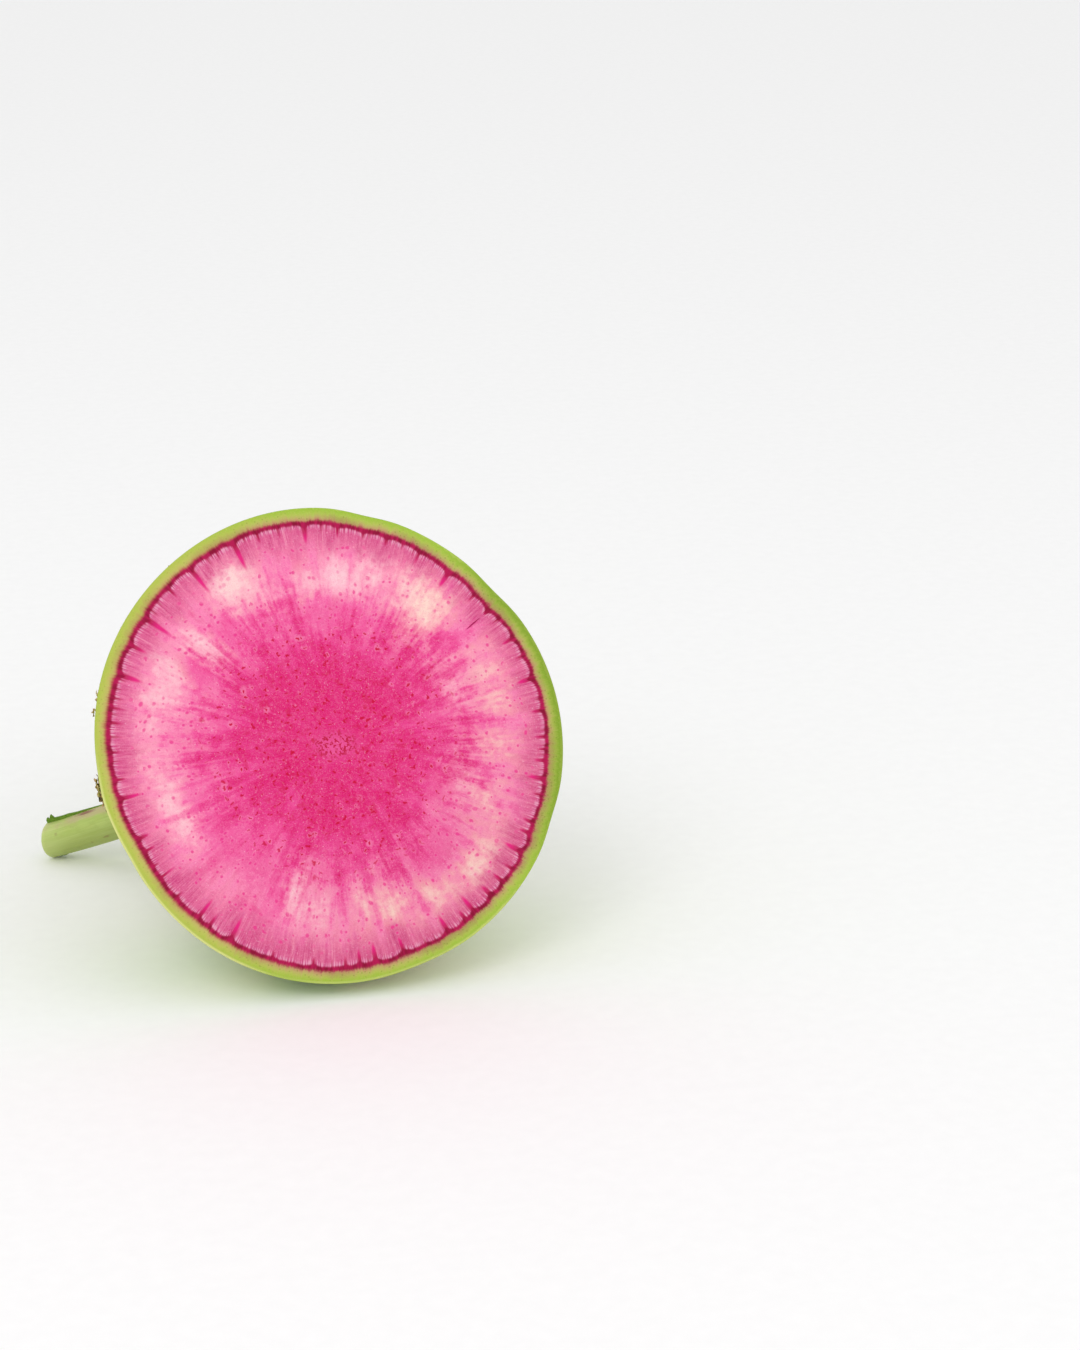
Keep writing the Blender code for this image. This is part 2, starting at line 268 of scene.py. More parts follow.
def spinProfile(points, columns, sectors=24):
    # turned as one sector and its copies, because one long spin takes far longer
    bm = bmesh.new()
    ringLayer, = floatLayers(bm, "ring")
    verts = [bm.verts.new((radius, 0, height)) for radius, height in points]
    for ring, vert in enumerate(verts):
        vert[ringLayer] = ring
    edges = [bm.edges.new(pair) for pair in zip(verts, verts[1:])]
    bmesh.ops.spin(
        bm, geom=verts + edges, cent=(0, 0, 0), axis=(0, 0, 1), angle=math.tau / sectors,
        steps=columns // sectors, use_merge=False, use_duplicate=False,
    )
    sector = bm.verts[:] + bm.edges[:] + bm.faces[:]
    for turn in range(1, sectors):
        copy = bmesh.ops.duplicate(bm, geom=sector)["geom"]
        bmesh.ops.rotate(
            bm, verts=[part for part in copy if isinstance(part, bmesh.types.BMVert)], cent=(0, 0, 0),
            matrix=Matrix.Rotation(math.tau * turn / sectors, 3, "Z"),
        )
    bmesh.ops.remove_doubles(bm, verts=bm.verts, dist=1e-4)
    return bm


def onTable(place):
    standing = toWorld @ place
    if standing.z < 0:
        standing.z = 0
        return toRadish @ standing
    return place


# The root's form, as it was built. The lobes and the dents are shares of the radius

root = {
    "widest": 45.0,
    "cutPastWidest": 6.0,
    "shoulderDepth": 49.5,
    "shoulderPower": 2.3,
    "lobes": ((2, 0.0223, 125), (3, 0.0059, 4), (4, 0.0028, -4), (5, 0.0025, 21)),
    "dents": (
        (40, 7, 0.011), (78, 6, 0.009), (190, 6, -0.005), (205, 5, 0.004), (288, 10, 0.007),
        (338, 6, 0.008),
    ),
    "dentDepth": 12,
    "corkRadius": 20.5,
    "neckTop": 54.1,
    "pith": (0.67, 0.2),
}


def flankRadius(depth):
    share = (depth + root["cutPastWidest"]) / (root["shoulderDepth"] + root["cutPastWidest"])
    return root["widest"] * (1 - share ** root["shoulderPower"]) ** (1 / root["shoulderPower"])


def flankDepth(radius):
    share = (1 - (radius / root["widest"]) ** root["shoulderPower"]) ** (1 / root["shoulderPower"])
    return share * (root["shoulderDepth"] + root["cutPastWidest"]) - root["cutPastWidest"]


def lobeGrowth(around, depth):
    fade = 1 - 0.6 * (depth / root["neckTop"]) ** 2
    grow = sum(size * math.cos(n * (around - math.radians(peak))) for n, size, peak in root["lobes"])
    for direction, width, dent in root["dents"]:
        apart = turnApart(math.degrees(around), direction)
        if abs(apart) < 3 * width:
            grow -= dent * bell(apart, width) * math.exp(-depth / root["dentDepth"])
    return 1 + fade * grow


# The cut face: a thin plate, whose colours run out from the pith

face = {
    "columns": 2160,
    "rows": 26,
    "thickness": 0.7,
    "edgeRound": 0.16,
    "ringMid": 0.9365,
    "ringHalf": 0.0082,
    # direction, length inwards past the ring, strength
    "spikes": (
        (5.5, 0.05, 0.7), (8.7, 0.03, 0.3), (14.5, 0.07, 1.0), (21, 0.04, 0.5), (26.5, 0.055, 0.8),
        (33, 0.04, 0.4), (36.6, 0.03, 0.9), (42.5, 0.045, 0.5), (51.8, 0.08, 1.0), (61.5, 0.06, 0.5),
        (71, 0.035, 0.6), (77.5, 0.03, 0.5), (84.5, 0.045, 0.6), (88.8, 0.04, 0.3),
        (93.3, 0.075, 0.9), (105.6, 0.045, 0.5), (112, 0.12, 0.95), (117, 0.035, 0.35),
        (124.7, 0.12, 0.85), (132.2, 0.05, 0.5), (136.5, 0.03, 0.3), (141.6, 0.12, 0.95),
        (149.4, 0.065, 0.75), (157.4, 0.09, 1.0), (163.5, 0.04, 0.35), (166, 0.05, 0.35),
        (169.9, 0.05, 0.5), (173.5, 0.06, 0.3), (177.5, 0.035, 0.4), (184.8, 0.04, 0.6),
        (189.9, 0.09, 0.85), (201.5, 0.045, 0.8), (205.3, 0.045, 0.6), (209.8, 0.03, 0.3),
        (213.4, 0.08, 0.45), (220, 0.03, 0.4), (228, 0.10, 0.75), (231.6, 0.055, 0.6),
        (238.3, 0.10, 0.9), (250.3, 0.035, 0.4), (261.3, 0.035, 0.6), (269.8, 0.045, 0.5),
        (273.6, 0.065, 0.7), (277.8, 0.075, 0.95), (285.5, 0.07, 0.8), (291.8, 0.03, 0.3),
        (298.4, 0.075, 0.95), (303.9, 0.045, 0.7), (307, 0.085, 0.9), (313.1, 0.055, 0.85),
        (317.8, 0.05, 0.75), (321.9, 0.04, 0.5), (326.9, 0.08, 1.0), (332.2, 0.045, 0.75),
        (335.3, 0.045, 0.7), (342.8, 0.04, 0.5), (347.2, 0.075, 0.85), (352, 0.05, 0.7),
        (355, 0.04, 0.5), (358.4, 0.05, 0.6),
    ),
    "smallSpikes": 36,
    # pale clouds: direction, share of the radius, half width in degrees, half height, strength, warmth;
    # a negative strength is a darker arm
    "clouds": (
        (357, 0.715, 6, 0.075, 0.50, 0.9), (10, 0.740, 4, 0.060, 0.20, 0.9),
        (16, 0.760, 7, 0.085, 0.36, 0.9), (27, 0.750, 6, 0.075, 0.30, 0.7),
        (51.5, 0.740, 6.5, 0.105, 1.10, 0.9), (61, 0.750, 5, 0.090, 0.55, 0.6),
        (73, 0.740, 6, 0.100, 0.55, 0.3), (84, 0.725, 6, 0.075, 0.80, 0.2),
        (95, 0.680, 6, 0.065, 0.45, 0.3), (108, 0.700, 5, 0.070, 0.28, 0.3),
        (116.5, 0.790, 5, 0.085, 1.00, 0.5), (123, 0.750, 4, 0.075, 0.50, 0.4),
        (139, 0.710, 3.5, 0.090, 0.95, 0.3), (151, 0.755, 4.5, 0.090, 0.48, 0.3),
        (158, 0.740, 6, 0.100, 0.55, 0.3), (167, 0.780, 6, 0.075, 0.42, 0.3),
        (182, 0.755, 5, 0.075, 0.48, 0.4), (190, 0.735, 5, 0.065, 0.45, 0.3),
        (200, 0.735, 6, 0.065, 0.70, 0.3), (209, 0.730, 5, 0.055, 0.50, 0.3),
        (252, 0.650, 4, 0.110, 0.75, 0.2), (255, 0.470, 3, 0.055, 0.30, 0.1),
        (262, 0.700, 5, 0.080, 0.35, 0.3), (277, 0.660, 4, 0.075, 0.35, 0.6),
        (286, 0.725, 6.5, 0.072, 0.60, 0.8), (301, 0.765, 8, 0.080, 0.48, 0.8),
        (318, 0.790, 9, 0.075, 0.60, 0.8), (338, 0.710, 7, 0.080, 0.44, 0.8),
        (36, 0.740, 4, 0.110, -0.35, 0), (100, 0.810, 5, 0.050, -0.25, 0),
        (132, 0.790, 3.5, 0.110, -0.30, 0), (148, 0.640, 4, 0.080, -0.35, 0),
        (196, 0.640, 5, 0.045, -0.25, 0), (220, 0.740, 4, 0.130, -0.45, 0),
        (236, 0.640, 5, 0.060, -0.30, 0), (239, 0.810, 5, 0.090, -0.45, 0),
        (246, 0.790, 5, 0.100, -0.50, 0), (284, 0.825, 4, 0.045, -0.30, 0),
        (310, 0.660, 9, 0.060, -0.50, 0), (3, 0.700, 3, 0.080, -0.15, 0),
        (24, 0.570, 15, 0.065, 0.32, 0.3), (34, 0.650, 4, 0.050, 0.20, 0.3),
        (344, 0.560, 11, 0.060, 0.36, 0.3), (138, 0.610, 4, 0.070, 0.45, 0.3),
        (87, 0.570, 12, 0.060, -0.38, 0), (66, 0.560, 6, 0.050, -0.15, 0),
        (119, 0.560, 12, 0.050, -0.16, 0), (228, 0.570, 13, 0.060, -0.40, 0),
        (312, 0.570, 9, 0.060, -0.20, 0), (222, 0.640, 13, 0.045, -0.28, 0),
        (128, 0.640, 4, 0.060, -0.28, 0),
    ),
    "crack": {"direction": 36.6, "from": 0.785, "to": 0.875, "width": 0.16},
    # painted shade: direction and half width in degrees of the side of the face that is darker and duller
    "shadedSide": (308, 62),
    # direction, half width in degrees, change
    "ringThicker": ((57, 16, 0.0018), (200, 60, 0.0020), (345, 45, -0.0016)),
    "ringShift": ((130, 25, 0.004), (220, 15, 0.0025), (270, 25, -0.003), (320, 15, 0.003)),
    "sheenVeil": 0.011,
}


def wet(red, green, blue):
    # the colour under the light that a wet surface mirrors
    *parts, full = rgb(red, green, blue)
    return (*(max(0.0, part - face["sheenVeil"]) for part in parts), full)


def allSpikes():
    draw = random.Random(11)
    spikes = list(face["spikes"])
    while len(spikes) < len(face["spikes"]) + face["smallSpikes"]:
        direction = draw.uniform(0, 360)
        if min(abs(turnApart(direction, other[0])) for other in spikes) > 1.1:
            spikes.append((direction, draw.uniform(0.02, 0.05), draw.uniform(0.08, 0.30)))
    return sorted(spikes)


def wander(seed, *frequencies):
    # a smooth closed wave round the axis, of about unit size
    draw = random.Random(seed)
    waves = [(n, draw.uniform(0, math.tau), draw.uniform(0.6, 1.0)) for n in frequencies]
    total = math.sqrt(sum(size * size for _, _, size in waves) / 2)
    return lambda around: sum(s * math.cos(n * around + start) for n, start, s in waves) / total


def faceSections():
    # share of the radius and height of each row: the cut, its rounded edge, and the hidden underside
    edge = face["edgeRound"]
    inset = edge / root["widest"]
    rows = [(row / face["rows"] * (1 - inset), 0.0) for row in range(face["rows"] + 1)]
    rows += [(1 - 0.3 * inset, -0.3 * edge), (1.0, -edge)]
    return rows + [(0.985, -face["thickness"]), (0.0, -face["thickness"])]


def ringAround(around, spikes, broad, fine, tremble):
    # in one direction: the middle and the inner edge of the ring, and the spike there with its tip
    degrees = math.degrees(around) % 360
    mid = face["ringMid"] + 0.0045 * math.cos(around - math.radians(150))
    mid += 0.0022 * broad(around) + 0.0012 * fine(around) + 0.0004 * tremble(around)
    reach = face["ringHalf"] + 0.0008 * fine(around + 1) + 0.0006 * tremble(around + 2)
    for direction, width, thicker in face["ringThicker"]:
        reach += thicker * bell(turnApart(degrees, direction), width)
    for direction, width, shift in face["ringShift"]:
        mid += shift * bell(turnApart(degrees, direction), width)
    line, tip = 0.0, 1.0
    for direction, length, strength in spikes:
        apart = abs(turnApart(degrees, direction))
        if apart < 6:
            mid -= 0.0070 * strength ** 2 * bell(apart, 1.5)
            reach += 0.020 * strength ** 1.5 * math.exp(-apart / 0.72)
            here = (0.35 + 0.65 * strength) * bell(apart, 0.30 + 0.40 * strength)
            if here > line:
                line, tip = here, face["ringMid"] - 1.25 * length
    return mid, mid - reach, line, tip


def cloudAt(degrees, share):
    cloud, warm = 0.0, 0.001
    for direction, middle, width, height, strength, warmth in face["clouds"]:
        here = strength * bell(turnApart(degrees, direction), width) * bell(share - middle, height)
        cloud += here
        warm += abs(here) * warmth
    return min(cloud, 1.2), min(1.0, warm / (abs(cloud) + 0.002))


def makeFace(material):
    radius = flankRadius(0)
    bm = spinProfile([(share * radius, height) for share, height in faceSections()], face["columns"])
    layers = floatLayers(
        bm, "share", "ringMid", "ringIn", "spikeLine", "spikeTip", "cloud", "warmth", "sideShade",
    )
    spikes = allSpikes()
    waves = wander(3, 1, 2, 3, 4), wander(5, 7, 11, 17, 23), wander(8, 61, 97, 131, 173)
    columns = {}
    pith = Vector((*root["pith"], 0))
    direction, width = face["shadedSide"]
    for vert in bm.verts:
        around = math.atan2(vert.co.y, vert.co.x)
        share = math.hypot(vert.co.x, vert.co.y) / radius
        degrees = math.degrees(around) % 360
        key = round(degrees * 100)
        if key not in columns:
            columns[key] = ringAround(around, spikes, *waves)
        # share of the painted shade on one side of the face
        sideShade = bell(turnApart(degrees, direction), width)
        for layer, value in zip(layers, (share, *columns[key], *cloudAt(degrees, share), sideShade)):
            vert[layer] = value
        grow = lobeGrowth(around, 0)
        vert.co.x *= grow
        vert.co.y *= grow
        vert.co += pith * (1 - share) ** 2
    makePiece("cut_face", bm, "flesh", material, "radish_half", sharp=60)


def facePaint():
    p = Paint("red_flesh", roughness=0.42, specular=0.15, subsurface=0.04, tone=wet)
    place = p.radishAxes()
    fromPith = p.vector("MULTIPLY", p.vector("SUBTRACT", place, (*root["pith"], 0)), (1, 1, 0))
    heading = p.vector("NORMALIZE", fromPith)
    x, y, _ = p.split(fromPith)
    turn = p.maths("ARCTAN2", y, x)
    share, ringMid, ringIn, haze = (p.attribute(name) for name in ("share", "ringMid", "ringIn", "cloud"))

    def outwards(turns, steps, detail, rough=0.5):
        return p.noise(p.rays(heading, share, turns, steps), detail=detail, rough=rough)

    broad = outwards(2.2, 2.6, 2)
    streaks = outwards(9, 2.6, 3, 0.6)
    arms = outwards(20, 3.2, 2, 0.55)
    fibres = outwards(44, 9, 2, 0.6)
    hairs = outwards(205, 12, 1)
    blotch = p.noise(fromPith, scale=0.75, detail=2, rough=0.6)
    mottle = p.noise(fromPith, scale=0.30, detail=3, rough=0.65)
    pools = p.noise(p.warped(fromPith, 0.3, 6), scale=0.17, detail=2, rough=0.5)
    grain = p.noise(fromPith, scale=4.2, detail=1, rough=0.8)

    # from the magenta core out to the dusty zone inside the ring
    offPith = share.rise(0.25, 0.68)
    streaky = share.rise(0.40, 0.66)
    pushed = streaks.sway(0.54) + arms.sway(0.28) + fibres.sway(0.20)
    p.colour = p.ramp(
        share + broad.sway(0.40) + pushed * offPith + mottle.sway(0.50),
        (0.00, 224, 44, 122), (0.22, 222, 36, 114), (0.34, 224, 42, 120), (0.44, 231, 58, 136),
        (0.54, 241, 84, 154), (0.64, 247, 110, 170), (0.74, 251, 138, 184), (0.86, 246, 132, 172),
        (0.96, 228, 108, 154),
    )
    inCore = share.fall(0.50, 0.80)
    p.over((mottle * 0.6 + pools * 0.4).rise(0.46, 0.58) * inCore * 0.30, (234, 80, 150))
    p.over((mottle * 0.4 + pools * 0.6).fall(0.40, 0.50) * inCore * 0.14, (216, 20, 98))
    rays = streaks * 0.4 + arms * 0.6
    rayed = share.rise(0.06, 0.22) * share.fall(0.50, 0.75)
    p.over(rays.rise(0.49, 0.60) * rayed * 0.24, (240, 94, 160))
    p.over(rays.fall(0.40, 0.50) * rayed * 0.22, (214, 30, 106))

    # pale clouds with feathered edges, and darker arms between them
    warmth = p.attribute("warmth")
    uneven = streaks.sway(2.0) + arms.sway(1.3) + fibres.sway(0.6) + mottle.sway(1.6) + blotch.sway(1.3)
    cloud = haze + uneven * 0.62
    soft = p.mix(warmth, (254, 164, 196), (252, 166, 180))
    pale = p.mix(warmth, (255, 208, 222), (255, 226, 206))
    p.over(cloud.rise(-0.03, 0.46, "LINEAR") * streaky * 0.92, soft)
    p.over(cloud.rise(0.34, 1.00, "LINEAR") * streaky * 0.92, pale)
    p.over((uneven * 0.8 - haze).rise(0.10, 0.8, "LINEAR") * streaky * 0.80, (236, 76, 148))

    # dusty mauve zone with fine lines
    lines = p.ramp(
        hairs * 0.5 + fibres * 0.5,
        (0.36, 202, 62, 124), (0.48, 214, 86, 138), (0.58, 224, 110, 154), (0.68, 236, 146, 176),
    )
    p.over((share + streaks.sway(0.30) - cloud * 0.065).rise(0.77, 0.92) * 0.88, lines)
    # darker and duller towards one side: mostly painted shade, partly the flesh's own duller colour
    p.tint(p.attribute("sideShade") * offPith * 0.7, (0.89, 0.96, 0.87))

    # grain, and painted highlights: white sparkle on the wet cells
    tissue = p.split(p.cells(fromPith, scale=4.0)[1])
    p.over(grain.rise(0.48, 0.72) * 0.18, (255, 156, 198))
    p.over(grain.fall(0.28, 0.52) * 0.16, (202, 14, 90))
    p.over(tissue[0].rise(0.60, 1.0) * 0.10, (255, 190, 214))
    p.over(tissue[1].rise(0.60, 1.0) * 0.10, (194, 16, 84))
    # painted highlight: white sparkle of the wet cells
    p.over(tissue[2].rise(0.965, 0.985) * grain.rise(0.42, 0.56) * 0.20, (255, 220, 232))

    # vessels: soft magenta points in rows that run outwards
    rows = p.join(turn * 25 + broad.sway(3), share * 33 + broad.sway(5), 0)
    away, shade = p.cells(rows, flat=True)
    chance = p.split(shade)
    inRow = p.noise(p.rays(heading, 0.0, 17, 1), detail=1).rise(0.42, 0.56)
    size = chance[0] * 0.26 + 0.17
    present = (chance[1] + inRow * 0.30).rise(0.66, 0.86) * mottle.rise(0.40, 0.52)
    present = present * share.rise(0.40, 0.54) * share.fall(0.84, 0.9)
    p.over(away.fall(0.16, 0.55) * present * 0.22, (252, 160, 196))
    clear = 1.0 - cloud.rise(0.3, 0.9) * 0.55
    p.over(away.fall(size * 0.4, size) * present * clear * 0.72, (232, 30, 134))

    # the core's crimson points, a few with a pale ring, its deeper blots and the dark star in the pith
    uneasy = p.warped(p.warped(fromPith, 0.7, 2), 2.4, 0.35)
    inside = share.fall(0.46, 0.66)
    crowded = share.fall(0.06, 0.40) * 0.32
    for scale, few, small in ((0.33, 0.38, 0.085), (0.58, 0.40, 0.125)):
        away, shade = p.cells(p.vector("ADD", uneasy, (7 * scale, 3, 0)), scale=scale, flat=True)
        chance = p.split(shade)
        size = chance[0] * chance[0] * 0.08 + small
        present = (chance[1] + crowded).rise(few, few + 0.1) * inside
        ringed = chance[2].rise(0.80, 0.82) * share.rise(0.16, 0.34)
        p.over(away.fall(0.10, 0.34) * present * ringed * 0.60, (246, 136, 182))
        p.over(away.fall(size * 0.5, size) * present * 0.95, (204, 0, 66))
    blots = p.noise(p.warped(fromPith, 0.6, 4), scale=0.50, detail=2, rough=0.6).rise(0.56, 0.64)
    p.over(blots * share.rise(0.04, 0.14) * share.fall(0.30, 0.52) * 0.45, (206, 0, 74))
    oval = p.vector("LENGTH", p.vector("MULTIPLY", fromPith, (1.0, 1.7, 0)))
    p.over(oval.fall(1.0, 6.5) * 0.60, (238, 98, 162))
    veins = p.borders(p.warped(fromPith, 1.1, 3.5), scale=0.80, flat=True)
    star = veins.fall(0.12, 0.28) * p.noise(fromPith, scale=1.4, detail=1).rise(0.47, 0.53)
    p.over(star * oval.fall(2.8, 5.4) * 0.9, (190, 0, 62))

    # pale comb of hairs under the ring
    under = ringIn - share
    comb = under.rise(-0.002, 0.004) * (under + hairs.sway(-0.03)).fall(0.004, 0.022)
    p.over(comb * 0.66, p.mix(hairs.rise(0.42, 0.60), (206, 88, 140), (236, 172, 198)))

    # spikes that run in from the ring, then the ring itself
    left = share.rise(p.attribute("spikeTip") - 0.012, ringIn + 0.004)
    spike = p.attribute("spikeLine") * p.maths("POWER", left, 0.6)
    spikeColour = p.mix(share.rise(0.86, 0.92), (230, 34, 128), (178, 10, 74))
    p.over(spike.rise(0.08, 0.62) * 0.92, spikeColour)
    rag = hairs.sway(0.010)
    inRing = share.rise(ringIn + rag - 0.006, ringIn + rag + 0.005)
    p.over(inRing, p.mix(fibres.rise(0.35, 0.65), (142, 26, 58), (182, 34, 84)))

    # rind: tan and olive next to the ring, then green
    flesh = p.colour
    ringOut = ringMid + face["ringHalf"] + rag
    depth = (share - ringOut) * 17 + outwards(60, 12, 2).sway(0.5) + broad.sway(0.3)
    p.colour = p.ramp(
        depth,
        (0.00, 172, 92, 92), (0.10, 192, 146, 108), (0.28, 188, 176, 104), (0.48, 180, 192, 90),
        (0.68, 168, 194, 76), (0.88, 160, 192, 68), (0.97, 176, 200, 88),
    )
    darker = p.noise(fromPith, scale=0.07, detail=1).rise(0.46, 0.62)
    p.over(darker * depth.rise(0.02, 0.12) * depth.fall(0.35, 0.65) * 0.40, (140, 140, 64))
    away, shade = p.cells(fromPith, scale=1.3, flat=True)
    speck = away.fall(0.10, 0.26) * p.split(shade)[0].rise(0.5, 0.6) * depth.fall(0.5, 0.8)
    p.over(speck * 0.45, (110, 126, 40))
    p.over(grain.rise(0.5, 0.75) * 0.25, (206, 222, 124))
    onLeft = p.facing(heading, (-1, 0.05, 0)).rise(0.1, 0.7)
    p.over(onLeft * depth.fall(-0.05, 0.35) * 0.55, (178, 96, 84))
    p.over(onLeft * 0.35, (206, 196, 104))
    # painted shade: the outer rind is darker on its right side
    rightShade = p.facing(heading, (0.985, 0.17, 0)).rise(0.64, 0.92)
    p.tint(rightShade * depth.rise(0.1, 0.9), (0.68, 0.71, 0.56))
    # painted highlights: a pale line along the very edge of the rim, on the sides that face the two given
    # ways
    lights = (((-0.82, -0.57, 0), 0.75, 0.93, 0.7), ((0.26, -0.97, 0), 0.80, 0.95, 0.35))
    for way, low, high, strength in lights:
        rimHighlight = p.facing(heading, way).rise(low, high)
        p.over(share.rise(0.986, 0.997) * rimHighlight * strength, (234, 232, 158))
    inRind = share.rise(ringOut - 0.006, ringOut + onLeft * 0.006 + 0.007)
    p.colour = p.mix(inRind, flesh, p.colour)

    # a slender crack
    crack = face["crack"]
    way = atAngle(math.radians(crack["direction"]))
    across = p.vector("LENGTH", p.vector("CROSS_PRODUCT", place, way))
    middle = (crack["from"] + crack["to"]) / 2
    half = (crack["to"] - crack["from"]) / 2
    off = (share - middle) * (1 / half)
    width = (1.0 - off * off) * crack["width"]
    inCrack = (width - across).rise(0.0, 0.05) * p.facing(place, way).rise(0, 1)
    p.over(inCrack * 0.9, (170, 24, 84))

    lined = (fibres * 0.5 + hairs * 0.3) * streaky
    return p.finish(grain * 0.5 + lined + inRing * 0.4 - inCrack, 0.05 * mm, mottle * 0.20 + 0.36)


makeFace(facePaint())
print("cut face")


# The skin: flank, corky shoulder, sunken ring and scarred neck

skin = {
    "columns": 360,
    "flankRings": 66,
    "ringsPerStep": 6,
    # radius and depth of each step of the neck
    "neckSteps": (
        (18.4, 44.3), (16.7, 43.8), (15.5, 44.6), (14.7, 46.8), (13.0, 47.9), (12.1, 49.9),
        (10.5, 50.8), (9.4, 52.5), (6.5, 53.6),
    ),
    "stepShift": 0.8,
    "leafSpiral": 137.5,
    "scars": 24,
    "scarSteps": (3.0, 8.0),
    "scarSize": 0.95,
    "scarStretch": 1.5,
    "corkHeight": 0.16,
    "lumps": 0.25,
    "folds": 0.8,
    "ledges": (3, 5, 7),
    "lip": 1.5,
}


def stepShift(step):
    # how far a ring of the neck sits off centre: whole numbers are the steps, 0 is the shoulder
    def shift(whole):
        if whole < 1 or whole > len(skin["neckSteps"]):
            return Vector((0, 0, 0))
        return atAngle(math.radians((whole - 1) * skin["leafSpiral"])) * skin["stepShift"]

    low = math.floor(step)
    return shift(low).lerp(shift(low + 1), step - low)


def throughPoints(points, share):
    # a smooth curve through the points: share 1.5 is halfway from the second to the third
    low = min(int(share), len(points) - 2)
    t = share - low
    a, b, c, d = (Vector(points[min(max(low + k, 0), len(points) - 1)]) for k in (-1, 0, 1, 2))
    curve = 2 * b + (c - a) * t + (2 * a - 5 * b + 4 * c - d) * t * t
    return 0.5 * (curve + (3 * b - a - 3 * c + d) * t ** 3)


def skinRings():
    # radius, depth and neck step of each ring, from under the cut face to the middle of the crown
    rim = flankRadius(0)
    rings = [(0.0, 0.72, 0.0), (rim * 0.9858, 0.72, 0.0), (rim * 1.0003, 0.13, 0.0)]
    last = flankDepth(root["corkRadius"])
    for ring in range(1, skin["flankRings"] + 1):
        depth = last * math.sin(math.pi / 2 * ring / skin["flankRings"])
        rings.append((flankRadius(depth), depth, 0.0))
    corners = [(root["corkRadius"], last), *skin["neckSteps"], (0.0, root["neckTop"])]
    for part in range(1, (len(corners) - 1) * skin["ringsPerStep"] + 1):
        step = part / skin["ringsPerStep"]
        radius, depth = throughPoints(corners, step)
        rings.append((max(0.0, radius) if step < len(corners) - 1 else 0.0, depth, step))
    return rings


def neckScars(rings):
    # leaf scars up the neck, in the order in which leaves grow
    low, high = skin["scarSteps"]
    neckRings = [ring for ring in rings if low <= ring[2] <= high]
    scars = []
    for scar in range(skin["scars"]):
        radius, depth, step = neckRings[int(scar / skin["scars"] * len(neckRings))]
        turn = math.radians(scar * skin["leafSpiral"] + 20)
        scars.append(atAngle(turn, radius, -depth) + stepShift(step))
    return scars


def stalkBases():
    # the lowest part of each stalk: middle, side, inner side and size at three places
    bases = []
    for spec in stalks.values():
        points = stalkPoints(spec)
        bases += [(*sectionAxes(points, share)[:3], spec[2]) for share in (0.03, 0.08, 0.14)]
    return bases


# painted shade in the creases where the stalk bases meet the neck: the layer is high near a stalk's base
def markCreaseShade(vert, layer, bases):
    for middle, side, inner, size in bases:
        away = vert.co - middle
        if away.length < 9:
            apart = math.hypot(
                away.dot(side) / (stalk["baseWidth"] * size),
                away.dot(inner) / (stalk["baseThickness"] * size),
            )
            vert[layer] = max(vert[layer], bell(apart - 1.0, 0.30))


def scarMove(vert, scarLayer, paleLayer, scars):
    # every second scar is dark all over, and the others have a pale middle
    move = 0.0
    for number, scar in enumerate(scars):
        away = vert.co - scar
        if away.length < 3:
            outward = Vector((scar.x, scar.y, 0)).normalized()
            around = Vector((-outward.y, outward.x, 0))
            sideways = away.dot(around)
            apart = math.hypot(sideways / skin["scarStretch"], (away - around * sideways).length)
            apart /= skin["scarSize"]
            dark = bell(apart, 0.80) if number % 2 else bell(apart - 0.75, 0.28)
            vert[scarLayer] = max(vert[scarLayer], dark)
            if number % 2 == 0:
                vert[paleLayer] = max(vert[paleLayer], bell(apart, 0.45))
            move += 0.22 * bell(apart - 0.9, 0.3) - 0.30 * bell(apart, 0.55)
    return move


def corkMove(vert, run, step, lipRun):
    # cork and lumps towards the crown, folds in the neck, and an uneven lip between the two
    crown = smooth(30, 52, run)
    heading = Vector((vert.co.x, vert.co.y, 0)).normalized()

    def rough(turns, height):
        return noise.noise(Vector((heading.x * turns, heading.y * turns, height)))

    move = skin["corkHeight"] * crown * smooth(-0.1, 0.3, rough(9, run * 0.8))
    move += skin["lumps"] * crown * noise.noise(vert.co * 0.28)
    move += 0.10 * crown * noise.noise(vert.co * 1.1)
    fold = rough(2.0, vert.co.z * 0.5) + 0.5 * rough(5, vert.co.z * 0.9)
    move += skin["folds"] * smooth(0.2, 2.0, step) * fold
    return move + bell(run - lipRun, 3.5) * (skin["lip"] * rough(2.6, 7) - 0.2)


